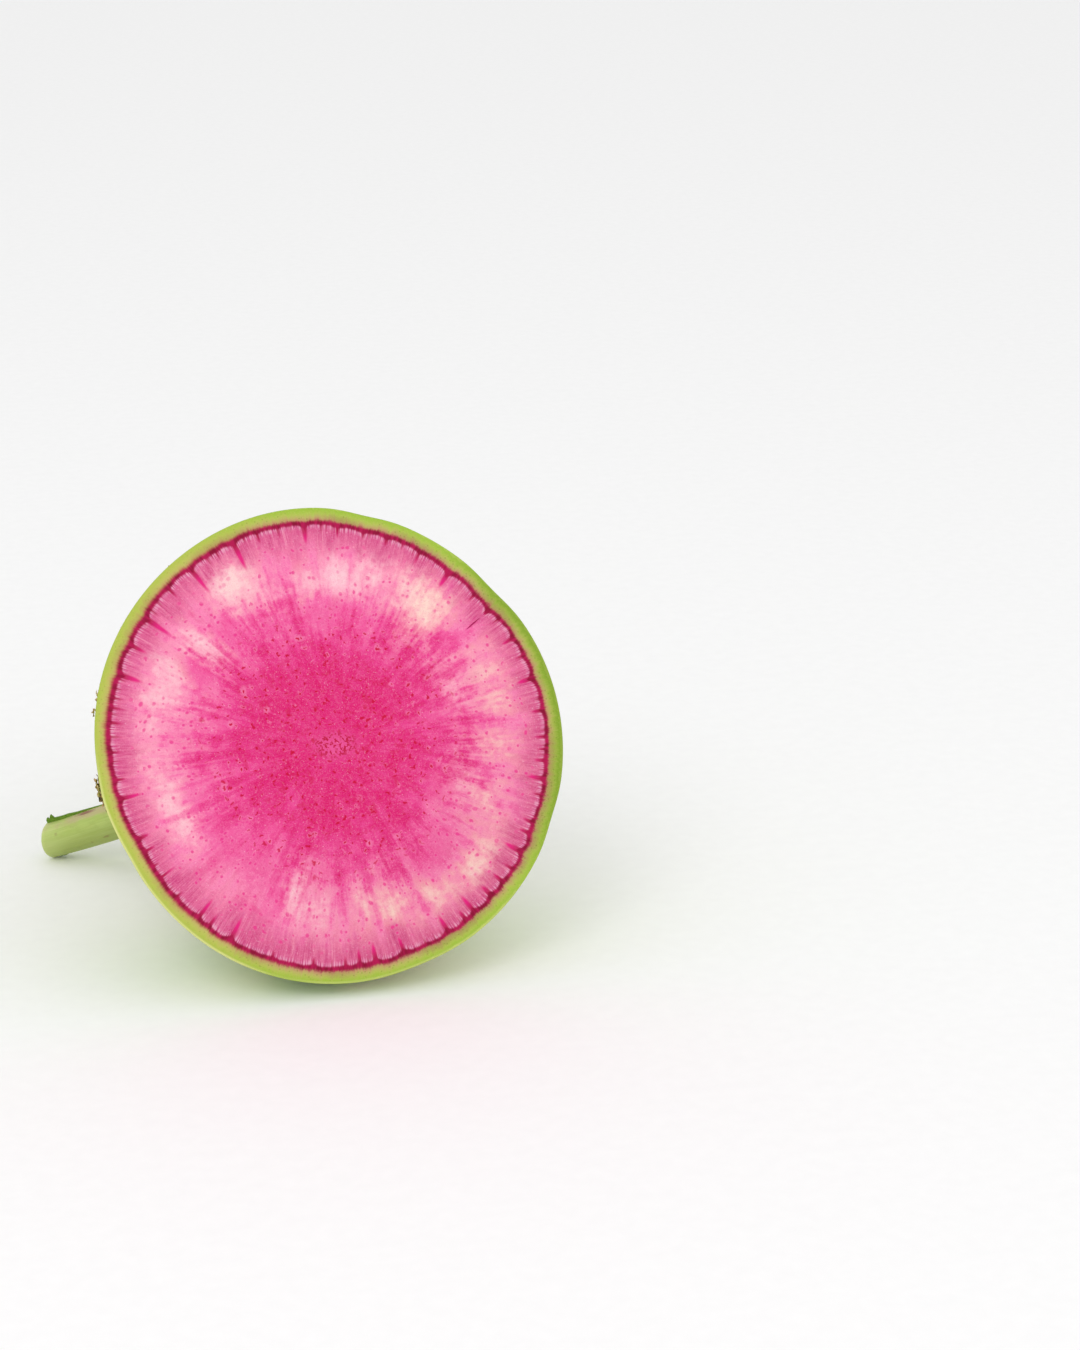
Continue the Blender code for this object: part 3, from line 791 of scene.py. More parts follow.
def makeSkin(material):
    rings = skinRings()
    bm = spinProfile([(radius, -depth) for radius, depth, _ in rings], skin["columns"])
    ringLayer = bm.verts.layers.float["ring"]
    runLayer, scarLayer, paleLayer, creaseShadeLayer, ledgeLayer = floatLayers(
        bm, "run", "scar", "scarMiddle", "creaseShade", "ledge",
    )
    runs = [0.0, 0.0, 0.0]
    for before, after in zip(rings[2:], rings[3:]):
        runs.append(runs[-1] + math.dist(before[:2], after[:2]))
    lipRun = runs[2 + skin["flankRings"]]
    bmesh.ops.recalc_face_normals(bm, faces=bm.faces)
    for vert in bm.verts:
        ring = round(vert[ringLayer])
        step = rings[ring][2]
        vert[runLayer] = runs[ring]
        vert[ledgeLayer] = max(bell(step - ledge, 0.32) for ledge in skin["ledges"])
        vert.co += stepShift(step)
        grow = lobeGrowth(math.atan2(vert.co.y, vert.co.x), -vert.co.z)
        vert.co.x *= grow
        vert.co.y *= grow
    bm.normal_update()
    scars = neckScars(rings)
    bases = stalkBases()
    moves = []
    for vert in bm.verts:
        ring = round(vert[ringLayer])
        step = rings[ring][2]
        move = 0.0
        if step > 1.5:
            markCreaseShade(vert, creaseShadeLayer, bases)
            move += scarMove(vert, scarLayer, paleLayer, scars)
        if ring > 2:
            move += corkMove(vert, runs[ring], step, lipRun)
        moves.append((vert, vert.normal * move))
    for vert, move in moves:
        vert.co = onTable(vert.co + move)
    makePiece("radish_skin", bm, "skin", material, "radish_half", sharp=75)


def skinPaint():
    p = Paint("radish_skin", roughness=0.42, specular=0.4, subsurface=0.06)
    place = p.radishAxes()
    flat = p.vector("MULTIPLY", place, (1, 1, 0))
    heading = p.vector("NORMALIZE", flat)
    fromAxis = p.vector("LENGTH", flat)
    run = p.attribute("run")

    def downwards(turns, steps, detail, rough=0.5):
        return p.noise(p.rays(heading, run, turns, steps), detail=detail, rough=rough)

    large = p.noise(place, scale=0.05, detail=3)
    mottle = p.noise(place, scale=0.22, detail=3, rough=0.6)
    grain = p.noise(place, scale=2.4, detail=2, rough=0.7)
    patch = p.noise(place, scale=0.055, detail=2)
    p.colour = p.ramp(
        large * 0.7 + mottle * 0.3,
        (0.36, 142, 178, 52), (0.46, 158, 190, 66), (0.56, 172, 198, 84), (0.66, 190, 208, 112),
    )
    p.over((mottle + large.sway(1.2)).rise(0.56, 0.78) * 0.32, (224, 228, 148))
    p.over(downwards(16, 1.6, 2).rise(0.58, 0.72) * 0.30, (204, 216, 132))
    p.over(p.noise(place, scale=3.2, detail=1).rise(0.62, 0.70) * 0.25, (206, 212, 140))

    # cork in strokes that run round the root, in groups
    groups = downwards(1.5, 0.085, 1)
    ragged = downwards(14, 1.3, 3, 0.65)
    ripple = run + mottle.sway(3)
    strokes = 0.0
    for turns, steps, few, gap in ((1.2, 0.50, 0.72, 0.09), (3.0, 0.85, 0.86, 0.12)):
        lanes = p.warped(p.rays(heading, ripple, turns, steps), 2.0, 0.15)
        shade = p.split(p.cells(lanes)[1])[0]
        grouped = shade + groups.sway(4.0) - run.rise(26, 46) * 0.4
        outline = (p.borders(lanes) + ragged.sway(0.36)).rise(gap, gap + 0.03)
        strokes = p.either(strokes, grouped.rise(few, few + 0.02) * outline)
    corkColour = p.ramp(
        grain * 0.35 + ragged * 0.3 + mottle * 0.35,
        (0.36, 206, 182, 134), (0.46, 222, 202, 156), (0.54, 230, 214, 172), (0.64, 240, 230, 196),
    )
    ticks = p.borders(p.rays(heading, run, 36, 0.45))
    p.over(strokes * 0.95, p.mix(ticks.fall(0.02, 0.10) * 0.35, corkColour, (172, 160, 102)))

    # a lace of cork that closes towards the crown, where its crust is crackled
    closing = (run + patch.sway(70) + mottle.sway(24)).rise(18, 56, "LINEAR") * 0.34
    tan = (downwards(22, 0.75, 5, 0.85) + closing).rise(0.675, 0.715)
    p.over(p.noise(place, scale=1.7, detail=2).rise(0.60, 0.66) * run.rise(12, 34) * 0.55, (222, 222, 156))
    tanColour = p.ramp(
        grain * 0.4 + mottle * 0.35 + ragged * 0.25,
        (0.38, 176, 172, 114), (0.46, 202, 188, 138), (0.54, 218, 202, 154), (0.64, 230, 220, 178),
    )
    warm = p.noise(place, scale=0.9, detail=2).rise(0.60, 0.70)
    p.over(tan * 0.85, p.mix(warm * 0.5, tanColour, (226, 180, 118)))
    plates = p.borders(p.warped(p.warped(p.rays(heading, ripple, 12, 0.50), 0.8, 1.1), 3, 0.3))
    crackled = (run + patch.sway(40)).rise(40, 52) * p.noise(place, scale=0.12, detail=1).rise(0.42, 0.54)
    crack = plates.fall(0.005, 0.055) * crackled
    p.over(crack * 0.75, (122, 132, 86))

    # brown clumps round the neck, the green neck with its ledges and leaf scars, and painted shade in the
    # creases round the stalk bases
    stain = p.noise(place, scale=0.30, detail=5, rough=0.75)
    uneven = fromAxis + mottle.sway(12) + patch.sway(12)
    groove = uneven.fall(16.5, 23.5)
    brown = p.ramp(
        grain * 0.4 + stain * 0.6,
        (0.38, 78, 54, 30), (0.47, 116, 86, 48), (0.56, 150, 118, 72), (0.66, 190, 162, 112),
    )
    p.over(groove * stain.rise(0.42, 0.56) * 0.6, (178, 158, 114))
    clumps = p.noise(place, scale=0.12, detail=1).sway(2.8) + stain.sway(1.8) + groove * 0.42
    p.over(clumps.rise(0.22, 0.62) * uneven.fall(19, 29) * 0.88, brown)
    neck = p.ramp(
        p.noise(place, scale=0.35, detail=3) * 0.8 + grain * 0.2,
        (0.38, 118, 142, 42), (0.48, 142, 168, 58), (0.56, 156, 184, 74), (0.66, 178, 198, 100),
    )
    inNeck = (fromAxis + mottle.sway(9) + patch.sway(6)).fall(15.2, 16.4)
    p.over(inNeck, neck)
    p.over((p.attribute("ledge") + stain.sway(2.2)).rise(0.55, 1.0) * 0.6, (88, 86, 38))
    p.over(stain.rise(0.56, 0.66) * inNeck * 0.4, (178, 168, 96))
    p.over(p.attribute("scar") * 0.95, (86, 30, 56))
    p.over(p.attribute("scarMiddle") * 0.85, (188, 176, 136))
    # painted shade in the creases round the stalk bases
    p.over((p.attribute("creaseShade") + mottle.sway(1.6)).rise(0.35, 0.95) * 0.8, (70, 36, 44))

    cork = p.either(strokes, tan)
    height = cork * 0.6 + grain * 0.2 - crack * 0.8 + groove * (1.0 - inNeck) * stain * 1.6
    return p.finish(height, 0.12 * mm, p.either(cork, groove) * 0.4 + 0.36)


# Loose flakes of cork, the largest of which show past the rim of the cut

flakes = {
    # direction, spread, depth from the cut, spread, how many, height, darkest tone
    "clumps": (
        (159.8, 0.5, 11.5, 2.5, 16, 0.35, 0.5), (163.4, 1.0, 11.5, 2.5, 50, 0.75, 0.5),
        (167.6, 0.5, 11.5, 2.5, 22, 0.75, 0.8), (171.2, 0.6, 11.0, 2.5, 10, 0.45, 0.5),
        (187.3, 1.5, 11.5, 2.8, 290, 1.00, 1.0), (190.6, 1.4, 10.5, 2.2, 60, 0.50, 0.8),
        (148.0, 12.0, 24.0, 7.0, 120, 0.22, 0.6), (205.0, 22.0, 30.0, 7.0, 190, 0.24, 0.6),
        (120.0, 25.0, 36.0, 6.0, 150, 0.22, 0.6), (20.0, 40.0, 37.0, 6.0, 160, 0.20, 0.6),
    ),
    "depths": (1.5, 42),
    "size": 0.32,
    "thickness": 0.10,
    "tilt": 38,
    "ragged": 0.14,
}


def makeFlakes(material):
    draw = random.Random(23)
    bm = bmesh.new()
    toneLayer, = floatLayers(bm, "tone")
    least, most = flakes["depths"]
    for direction, spread, depth, depthSpread, count, height, darkest in flakes["clumps"]:
        for _ in range(count):
            around = math.radians(draw.gauss(direction, spread))
            deep = min(max(least, draw.gauss(depth, depthSpread)), most)
            grow = lobeGrowth(around, deep)
            slope = (flankRadius(deep + 0.5) - flankRadius(deep - 0.5)) * grow
            outward = atAngle(around, z=slope).normalized()
            at = atAngle(around, flankRadius(deep) * grow, -deep) + outward * height * draw.random()
            turn = outward.to_track_quat("Z", "Y").to_matrix().to_4x4()
            tilt = math.radians(draw.gauss(0, flakes["tilt"]))
            size = flakes["size"] * draw.uniform(0.5, 1.3) * (0.6 + height)
            made = bmesh.ops.create_icosphere(
                bm, subdivisions=1, radius=1,
                matrix=Matrix.Translation(at) @ turn @ Matrix.Rotation(draw.uniform(0, math.tau), 4, "Z")
                @ Matrix.Rotation(tilt, 4, "X")
                @ Matrix.Diagonal((size, size * draw.uniform(0.4, 0.9), flakes["thickness"], 1)),
            )["verts"]
            tone = draw.random() ** 1.4 * darkest
            for vert in made:
                vert.co += Vector([draw.uniform(-1, 1) for _ in range(3)]) * size * flakes["ragged"]
                vert[toneLayer] = tone
    makePiece("cork_flakes", bm, "skin", material)


def flakePaint():
    p = Paint("cork_flakes", roughness=0.8, specular=0.2)
    grain = p.noise(p.radishAxes(), scale=5, detail=2)
    p.colour = p.ramp(
        p.attribute("tone") + grain.sway(1.0),
        (0.05, 222, 200, 152), (0.30, 206, 160, 104), (0.52, 154, 120, 62), (0.76, 104, 100, 40),
        (1.00, 64, 58, 28),
    )
    return p.finish(grain)


# Leaf stalks: cropped ends of leaves, each with strips of leaf blade along its sides

stalk = {
    "sides": 48,
    "sections": 90,
    "endRings": (0.03, 0.06, 0.08, 0.05, 0.06, 0.10, 0.12, 0.12, 0.12, 0.12),
    "rootDepth": 49.5,
    "rootRadius": 8.9,
    "baseWidth": 5.0,
    "baseThickness": 2.3,
    "width": 3.4,
    "thickness": 2.9,
    "clasp": 1.3,
    "groove": 0.20,
    "sink": 0.15,
    "ribs": 0.022,
    "collar": 0.17,
    "collarStep": 0.50,
    "endRecess": 0.22,
    "flare": 0.18,
    "wingColumns": 110,
    "wingRows": 9,
    "wingThickness": 0.5,
    "wingVeins": 7,
    # a nearly torn off strip's spurs: share of its length, half width, height
    "spurs": ((0.905, 0.040, 4.4), (0.975, 0.025, 3.0)),
}

# direction round the neck, lean from the axis, size, cut end (x, y, depth), wings (side, width, start,
# end), cut (slant, towards, corner, tuck at the upper side), direction of the tan band; a stalk with no
# y lies on the table, and a wing under 1 wide is a nearly torn off strip
stalks = {
    "leaf_stalk_left": (
        206, 1.05, 1.20, (-51.4, None, 78.5), ((-1, 0.22, 0.70, 0.968), (1, 0.42, 0.88, 0.99)),
        (0.7, -50, 1.3, 0.12), 200,
    ),
    "leaf_stalk_right": (
        337, 0.60, 1.16, (34.0, None, 90.0), ((1, 4.8, 0.46, 0.99),), (0.6, 200, 0.35, 0), 40,
    ),
    "leaf_stalk_low": (
        273, 0.30, 1.12, (-5.0, -6.6, 99.0), ((1, 4.0, 0.50, 0.99), (-1, 5.0, 0.44, 0.99)),
        (0.5, 90, 0.3, 0), 330,
    ),
    "leaf_stalk_back": (
        53, 0.30, 1.24, (24.0, 22.0, 97.0), ((1, 5.4, 0.44, 0.99), (-1, 4.0, 0.56, 0.99)),
        (0.8, 20, 0.35, 0), 250,
    ),
    "leaf_stalk_top": (
        125, 0.30, 1.20, (-18.0, 24.0, 99.0), ((1, 4.4, 0.54, 0.99), (-1, 5.6, 0.46, 0.99)),
        (0.4, 150, 0.3, 0), 300,
    ),
}

# dark marks on the left stalk: share of its length, direction round it, half width, half length, strength
stalkMarks = (
    (0.775, 196, 0.60, 2.0, 0.90), (0.72, 297, 0.30, 0.75, 0.45), (0.925, 240, 0.30, 0.4, 0.35),
    (0.79, 303, 0.22, 0.3, 0.40), (0.67, 262, 0.2, 0.5, 0.25),
)


def onCurve(points, share):
    a, b, c, d = points
    rest = 1 - share
    place = a * rest ** 3 + b * 3 * rest ** 2 * share + c * 3 * rest * share ** 2 + d * share ** 3
    way = (b - a) * rest ** 2 + (c - b) * 2 * rest * share + (d - c) * share ** 2
    return place, way.normalized()


def curveLength(points):
    return sum((onCurve(points, k / 40)[0] - onCurve(points, (k + 1) / 40)[0]).length for k in range(40))


def sectionAxes(points, share):
    # the middle of a section, its side, the side towards the radish's axis, and the way along
    place, way = onCurve(points, share)
    towardsAxis = Vector((-place.x, -place.y, 0))
    if towardsAxis.length < 0.1:
        towardsAxis = Vector((0, 1, 0))
    inner = (towardsAxis - way * towardsAxis.dot(way)).normalized()
    return place, way.cross(inner), inner, way


def stalkCurve(around, out, rootRadius, end):
    turn = math.radians(around)
    start = atAngle(turn, rootRadius, -stalk["rootDepth"])
    reach = (end - start).length
    leave = atAngle(turn, out, -1).normalized()
    arrive = (end - start - leave * reach * 0.45).normalized()
    return start, start + leave * reach * 0.36, end - arrive * reach * 0.30, end


def stalkPoint(points, share, size, angle, inward=1.0):
    place, side, inner, _ = sectionAxes(points, min(share, 1.0))
    settle = smooth(0, 0.40, share)
    flare = stalk["flare"] * smooth(0.13, 0.0, share)
    width = (stalk["baseWidth"] + (stalk["width"] - stalk["baseWidth"]) * settle) * size * (1 + flare)
    thickness = (stalk["baseThickness"] + (stalk["thickness"] - stalk["baseThickness"]) * settle) * size
    thickness *= 1 + 1.6 * flare
    across, up = math.cos(angle), math.sin(angle)
    if up > 0:
        up *= 1 - stalk["groove"] * (1 + bell(across, 0.45)) * up
    bend = stalk["clasp"] * (1 - settle) * (across * across * inward * inward - 0.5)
    return place + side * (across * width * inward) + inner * (up * thickness * inward + bend)


def lyingCurve(around, out, size, end):
    # the cut end is moved up and down until its lowest point is pressed a little into the table
    rise = (toWorld.to_3x3() @ Vector((0, 1, 0))).z / mm
    y = 0.0
    for _ in range(8):
        points = stalkCurve(around, out, stalk["rootRadius"], Vector((end[0], y, -end[2])))
        lowest = min((toWorld @ stalkPoint(points, 1.0, size, math.tau * k / 12)).z / mm for k in range(12))
        y -= (lowest + stalk["sink"]) / rise
    return points


def stalkPoints(spec):
    around, out, size, end = spec[:4]
    if end[1] is None:
        return lyingCurve(around, out, size, end)
    return stalkCurve(around, out, stalk["rootRadius"], Vector((end[0], end[1], -end[2])))


def unitTube(sides, sections):
    # a straight tube from z 0 to 1, with radius 1 and rings across its far end
    bm = bmesh.new()
    bmesh.ops.create_cone(
        bm, cap_ends=True, cap_tris=False, segments=sides, radius1=1, radius2=1, depth=1,
        matrix=Matrix.Translation((0, 0, 0.5)),
    )
    lengthwise = [edge for edge in bm.edges if abs(edge.verts[0].co.z - edge.verts[1].co.z) > 0.5]
    bmesh.ops.subdivide_edges(bm, edges=lengthwise, cuts=sections - 1, use_grid_fill=True)
    bm.faces.ensure_lookup_table()
    end = next(f for f in bm.faces if len(f.verts) == sides and f.calc_center_median().z > 0.9)
    for thickness in stalk["endRings"]:
        bmesh.ops.inset_region(bm, faces=[end], thickness=thickness, use_even_offset=False)
    return bm


def makeStalkStem(name, spec, points, length, material):
    around, _, size, end, _, (slant, towards, corner, tuck), tanSide = spec
    bm = unitTube(stalk["sides"], stalk["sections"])
    tanLayer, collarLayer, freshLayer, cutLayer = floatLayers(bm, "tan", "collar", "fresh", "cutEnd")
    straightLayer = bm.verts.layers.float_vector.new("straight")
    halfWidth = stalk["width"] * size
    for vert in bm.verts:
        share = 0.5 - 0.5 * math.cos(math.pi * min(1.0, vert.co.z))
        inward = min(1.0, math.hypot(vert.co.x, vert.co.y))
        angle = math.atan2(vert.co.y, vert.co.x)
        onEnd = share > 0.999
        seed = Vector((math.cos(angle) * 4 + around, math.sin(angle) * 4, share * 3))
        split = (share - stalk["collar"]) * length + 1.6 * math.sin(angle + around) + 0.5 * noise.noise(seed)
        vert[cutLayer] = 1 - inward if onEnd else 0.0
        vert[collarLayer] = split
        vert[freshLayer] = 0.0 if end[1] is None and end[0] < 0 else 1.0
        vert[straightLayer] = (
            math.cos(angle) * inward * halfWidth + around,
            math.sin(angle) * inward * stalk["thickness"] * size, share * length,
        )
        tan = bell(turnApart(math.degrees(angle), tanSide), 30) * smooth(0.0, 0.25, share)
        vert[tanLayer] = tan * (1 - 0.35 * smooth(0.82, 0.92, share))

        # ribs, the step at the collar, and the rounded corner of the cut end
        rib = 1 + stalk["ribs"] * noise.noise(seed) * smooth(0.05, 0.3, share)
        rib += 0.5 * stalk["ribs"] * math.cos(angle * 13 + 3 * noise.noise(seed * 0.3))
        step = stalk["collarStep"] / (stalk["baseWidth"] * size) * (smooth(-0.4, 0.5, split) - 0.7)
        rib += step * smooth(0.55, 0.1, share)
        fromEnd = (1 - share) * length
        narrower = 1.0
        if fromEnd < corner:
            narrower -= corner / halfWidth * (1 - math.sqrt(1 - (1 - fromEnd / corner) ** 2))
        place = stalkPoint(points, share, size, angle, inward * narrower * (rib if inward > 0.96 else 1.0))
        middle, side, _, way = sectionAxes(points, share)
        upper = min(0.0, (place - middle).dot(side))
        place -= side * upper * tuck * smooth(0.7, 0.95, share)
        place += way * slant * math.cos(angle - math.radians(towards)) * inward * smooth(0.85, 1.0, share)
        if onEnd:
            inside = smooth(0.82, 0.72, inward)
            rough = 0.22 * inside * noise.noise(Vector((vert.co.x * 5, vert.co.y * 5, around)))
            place -= way * (0.10 * smooth(0.78, 1.0, inward) + stalk["endRecess"] * inside - rough)
        vert.co = onTable(place)
    makePiece(name + "_stem", bm, "stalk", material, name, sharp=70)


def stripReach(along, which, around):
    # a strip of blade that was nearly torn off: it widens towards the end, where it has its spurs
    reach = 0.75 * smooth(-0.05, 0.8, along) * (1 - 1.2 * smooth(0.90, 1.0, along))
    reach *= 1 + 0.20 * math.sin(math.tau * 4 * along + around)
    if which > 0:
        return reach
    return reach + sum(tall * max(0.0, 1 - abs(along - at) / wide) for at, wide, tall in stalk["spurs"])


def wingReach(along, out, which, around):
    swell = math.sin(math.pi * (0.08 + 0.72 * along)) ** 0.7
    lobes = 0.70 + 0.30 * math.cos(math.tau * 3 * along + which)
    return swell * lobes * (1 + 0.09 * abs(math.sin(math.pi * 15 * along + around)) * out)


def wingRib(along, out):
    branch = along * stalk["wingVeins"] - 0.5 * out
    vein = 0.8 * bell((branch - round(branch)) / stalk["wingVeins"], 0.010) * (1 - 0.5 * out)
    return max(vein, 0.7 * smooth(0.86, 1.0, out), 0.9 * smooth(0.12, 0.0, out))


def makeStalkBlade(name, spec, points, length, material):
    around, _, size, _, wings = spec[:5]
    edge = stalk["width"] * size
    bm = bmesh.new()
    bladeLayer = bm.verts.layers.float_vector.new("blade")
    freshLayer, ribLayer = floatLayers(bm, "fresh", "rib")
    for which, width, start, finish in wings:
        isStrip = width < 1
        grid = bmesh.ops.create_grid(
            bm, x_segments=stalk["wingColumns"], y_segments=stalk["wingRows"], size=0.5,
        )
        for vert in grid["verts"]:
            along, out = vert.co.x + 0.5, vert.co.y + 0.5
            place, side, inner, _ = sectionAxes(points, start + (finish - start) * along)
            reach = stripReach(along, which, around) if isStrip else wingReach(along, out, which, around)
            vert[freshLayer] = 1.0 if isStrip and which < 0 else 0.0
            vert[ribLayer] = 0.0 if isStrip else wingRib(along, out)
            vert[bladeLayer] = (along * length * (1 - start), out * width, around)
            wave = math.sin(math.tau * 2.5 * along + 2.0 * which) * 0.28
            frill = math.sin(math.tau * 8.5 * along + around) * 0.085 * out
            vert.co = place + side * which * (edge * 0.72 + out * (edge * 0.28 + width * reach))
            vert.co += inner * (out * width * (wave + 0.28 * out + frill) + 0.4)
    solidify(bm, stalk["wingThickness"])
    for vert in bm.verts:
        vert.co = onTable(vert.co)
    makePiece(name + "_blade", bm, "leaf", material, name)


def solidify(bm, thickness):
    bmesh.ops.recalc_face_normals(bm, faces=bm.faces)
    bmesh.ops.solidify(bm, geom=bm.faces[:], thickness=thickness)


def stalkPaint():
    p = Paint("stalk_green", roughness=0.42, specular=0.40, subsurface=0.12)
    straight = p.attribute("straight", "Vector")
    lengthwise = p.vector("MULTIPLY", straight, (1, 1, 0.05))
    lines = p.noise(lengthwise, scale=1.3, detail=3, rough=0.6)
    fine = p.noise(lengthwise, scale=4.5, detail=2, rough=0.6)
    mottle = p.noise(straight, scale=0.45, detail=3, rough=0.6)
    p.colour = p.ramp(
        lines * 0.65 + fine * 0.35,
        (0.32, 166, 186, 90), (0.47, 177, 196, 102), (0.58, 184, 202, 112), (0.70, 198, 212, 132),
    )
    p.over(mottle.rise(0.52, 0.72) * 0.25, (160, 176, 84))
    tanBand = (p.attribute("tan") + mottle.sway(0.8) + lines.sway(0.6)).rise(0.30, 0.95)
    p.over(tanBand * 0.62, (192, 164, 136))
    fresh = p.attribute("fresh")
    p.tint(fresh, (0.84, 0.94, 0.66))
    fromCollar = p.attribute("collar")
    p.over(fromCollar.fall(-0.3, 0.3) * fresh * 0.75, (146, 168, 62))
    p.over(fromCollar.fall(0.2, 6.0) * fromCollar.rise(0.0, 0.5) * fresh * 0.5, (196, 212, 128))
    marks = p.noise(p.vector("MULTIPLY", straight, (1, 1, 0.3)), scale=0.50, detail=4, rough=0.7)
    p.over((marks + fromCollar.fall(0, 26) * 0.03).rise(0.57, 0.70) * fresh * 0.65, (160, 120, 70))
    p.over(marks.rise(0.65, 0.74) * 0.75, (122, 76, 54))
    p.over(p.noise(straight, scale=1.3, detail=1).rise(0.70, 0.75) * fresh * 0.7, (120, 84, 48))

    # what only the left stalk has: painted shade on its under side, a paler end and dark marks
    left = stalks["leaf_stalk_left"]
    around, _, size = left[:3]
    length = curveLength(stalkPoints(left))
    cropped = 1.0 - fresh
    # painted shade: darker towards the stalk's under side
    undersideShade = p.facing(p.vector("SUBTRACT", straight, (around, 0, 0)), (0.5, -0.87, 0))
    p.over(undersideShade.rise(1.7, 4.2) * cropped * 0.55, (146, 156, 82))
    p.over(p.split(straight)[2].rise(length * 0.86, length) * cropped * 0.45, (204, 216, 140))
    for share, direction, half, halfLength, strength in stalkMarks:
        angle = math.radians(direction)
        x = math.cos(angle) * stalk["width"] * size + around
        y = math.sin(angle) * stalk["thickness"] * size
        off = p.vector("SUBTRACT", straight, (x, y, share * length))
        away = p.vector("LENGTH", p.vector("MULTIPLY", off, (1 / half, 1 / half, 1 / halfLength)))
        p.over((away + fine.sway(3)).fall(0.4, 1.5) * strength, (134, 78, 66))

    seam = p.maths("ABSOLUTE", fromCollar + mottle.sway(2.5)).fall(0.06, 0.38) * fresh
    dotted = p.noise(straight, scale=1.1, detail=1).rise(0.50, 0.62)
    p.over(seam * 0.85, p.mix(dotted, (116, 130, 48), (72, 36, 34)))

    # the cut end: a smooth rim round wet grains, with bundles of vessels
    fromRim = p.attribute("cutEnd")
    section = p.vector("MULTIPLY", straight, (1, 1, 0))
    bundle = p.cells(section, scale=0.62)[0]
    grains = p.cells(section, scale=3.4)[0]
    nearRim = fromRim.fall(0.40, 0.55)
    inside = (fromRim + mottle.sway(0.2)).rise(0.17, 0.25)
    cut = p.ramp(
        grains * 0.5 + mottle * 0.5,
        (0.30, 98, 134, 28), (0.42, 122, 156, 44), (0.56, 148, 178, 72), (0.70, 190, 206, 126),
    )
    cut = p.mix(bundle.rise(0.12, 0.22) * bundle.fall(0.24, 0.36) * nearRim * 0.55, cut, (88, 96, 34))
    cut = p.mix(bundle.fall(0.10, 0.24) * nearRim * 0.6, cut, (178, 188, 104))
    rim = p.ramp(mottle, (0.40, 142, 178, 62), (0.60, 176, 202, 104))
    p.over(fromRim.rise(0.0, 0.03), p.mix(inside, rim, cut))
    return p.finish(lines * 0.35 + fine * 0.25 - grains * inside * 1.6 - seam * 0.6, 0.15 * mm)


def leafPaint():
    p = Paint("leaf_green", roughness=0.38, specular=0.12)
    place = p.radishAxes()
    grain = p.noise(place, scale=2.2, detail=3, rough=0.65)
    net = p.borders(p.warped(p.attribute("blade", "Vector"), 0.5, 1.5), scale=0.55)
    ribs = p.attribute("rib")
    p.colour = p.ramp(
        p.noise(place, scale=0.26, detail=2) * 0.65 + grain * 0.35,
        (0.36, 50, 86, 0), (0.46, 72, 112, 2), (0.56, 94, 134, 10), (0.66, 122, 160, 34),
    )
    p.over(net.fall(0.01, 0.07) * 0.28, (140, 172, 56))
    p.over(ribs * 0.80, (156, 188, 74))
    p.over(p.attribute("fresh"), p.ramp(grain, (0.36, 86, 122, 30), (0.60, 116, 150, 52)))
    return p.finish(net * 1.2 + grain * 0.3 + ribs * 0.8, 0.2 * mm)


makeSkin(skinPaint())
makeFlakes(flakePaint())
print("skin")
stalkGreen = stalkPaint()
leafGreen = leafPaint()
for name, spec in stalks.items():
    points = stalkPoints(spec)
    makeStalkStem(name, spec, points, curveLength(points), stalkGreen)
    makeStalkBlade(name, spec, points, curveLength(points), leafGreen)
print("leaf stalks")


# Young leaves between the stalks

youngLeaf = {
    "stemSides": 16,
    "stemSections": 40,
    "stemOut": 0.25,
    "stemBase": 1.6,
    "stemEnd": 1.25,
    "tip": 0.22,
    "columns": 90,
    "rows": 44,
    "start": 0.34,
    "waves": 3.0,
    "wave": 2.0,
    "cup": 2.6,
    "teeth": 0.17,
    "thickness": 0.5,
    "veins": 7,
    "hairs": 260,
    "hairLength": 1.3,
    "hairRadii": (0.055, 0.01),
}

# direction round the neck, distance from the axis, end (x, y, depth), width, seed
youngLeaves = {
    "young_leaf_centre": (250, 0.8, (-1.0, 1.5, 95.0), 7.0, 0.0),
    "young_leaf_top": (89, 4.4, (2.0, 17.5, 89.0), 7.5, 1.3),
    "young_leaf_left": (161, 4.4, (-21.0, 5.5, 86.0), 7.0, 2.1),
    "young_leaf_right": (15, 4.4, (22.0, 4.0, 88.0), 7.0, 3.4),
}


def bladePlace(points, width, seed, along, out):
    place, side, inner, _ = sectionAxes(points, youngLeaf["start"] + (0.985 - youngLeaf["start"]) * along)
    swell = math.sin(math.pi * (0.10 + 0.72 * along)) ** 0.8
    teeth = 1 + youngLeaf["teeth"] * math.sin(math.tau * 3.5 * along + seed + out)
    teeth += 0.10 * abs(out) * abs(math.sin(math.pi * 11 * along + seed * 2 + out))
    wave = math.sin(math.tau * youngLeaf["waves"] * along + seed + 1.5 * out) * youngLeaf["wave"]
    frill = math.sin(math.tau * 10 * along + seed + 4 * out) * 0.55 * abs(out) ** 3
    lift = youngLeaf["cup"] * out * out * swell + wave * out * out + frill
    return place + side * (out * width * swell * teeth) + inner * lift


def stemRadius(share):
    # it narrows to the midrib's tip along the blade
    start, end = youngLeaf["start"], youngLeaf["stemEnd"]
    if share < start:
        return youngLeaf["stemBase"] + (end - youngLeaf["stemBase"]) * share / start
    return end + (youngLeaf["tip"] - end) * ((share - start) / (1 - start)) ** 0.8


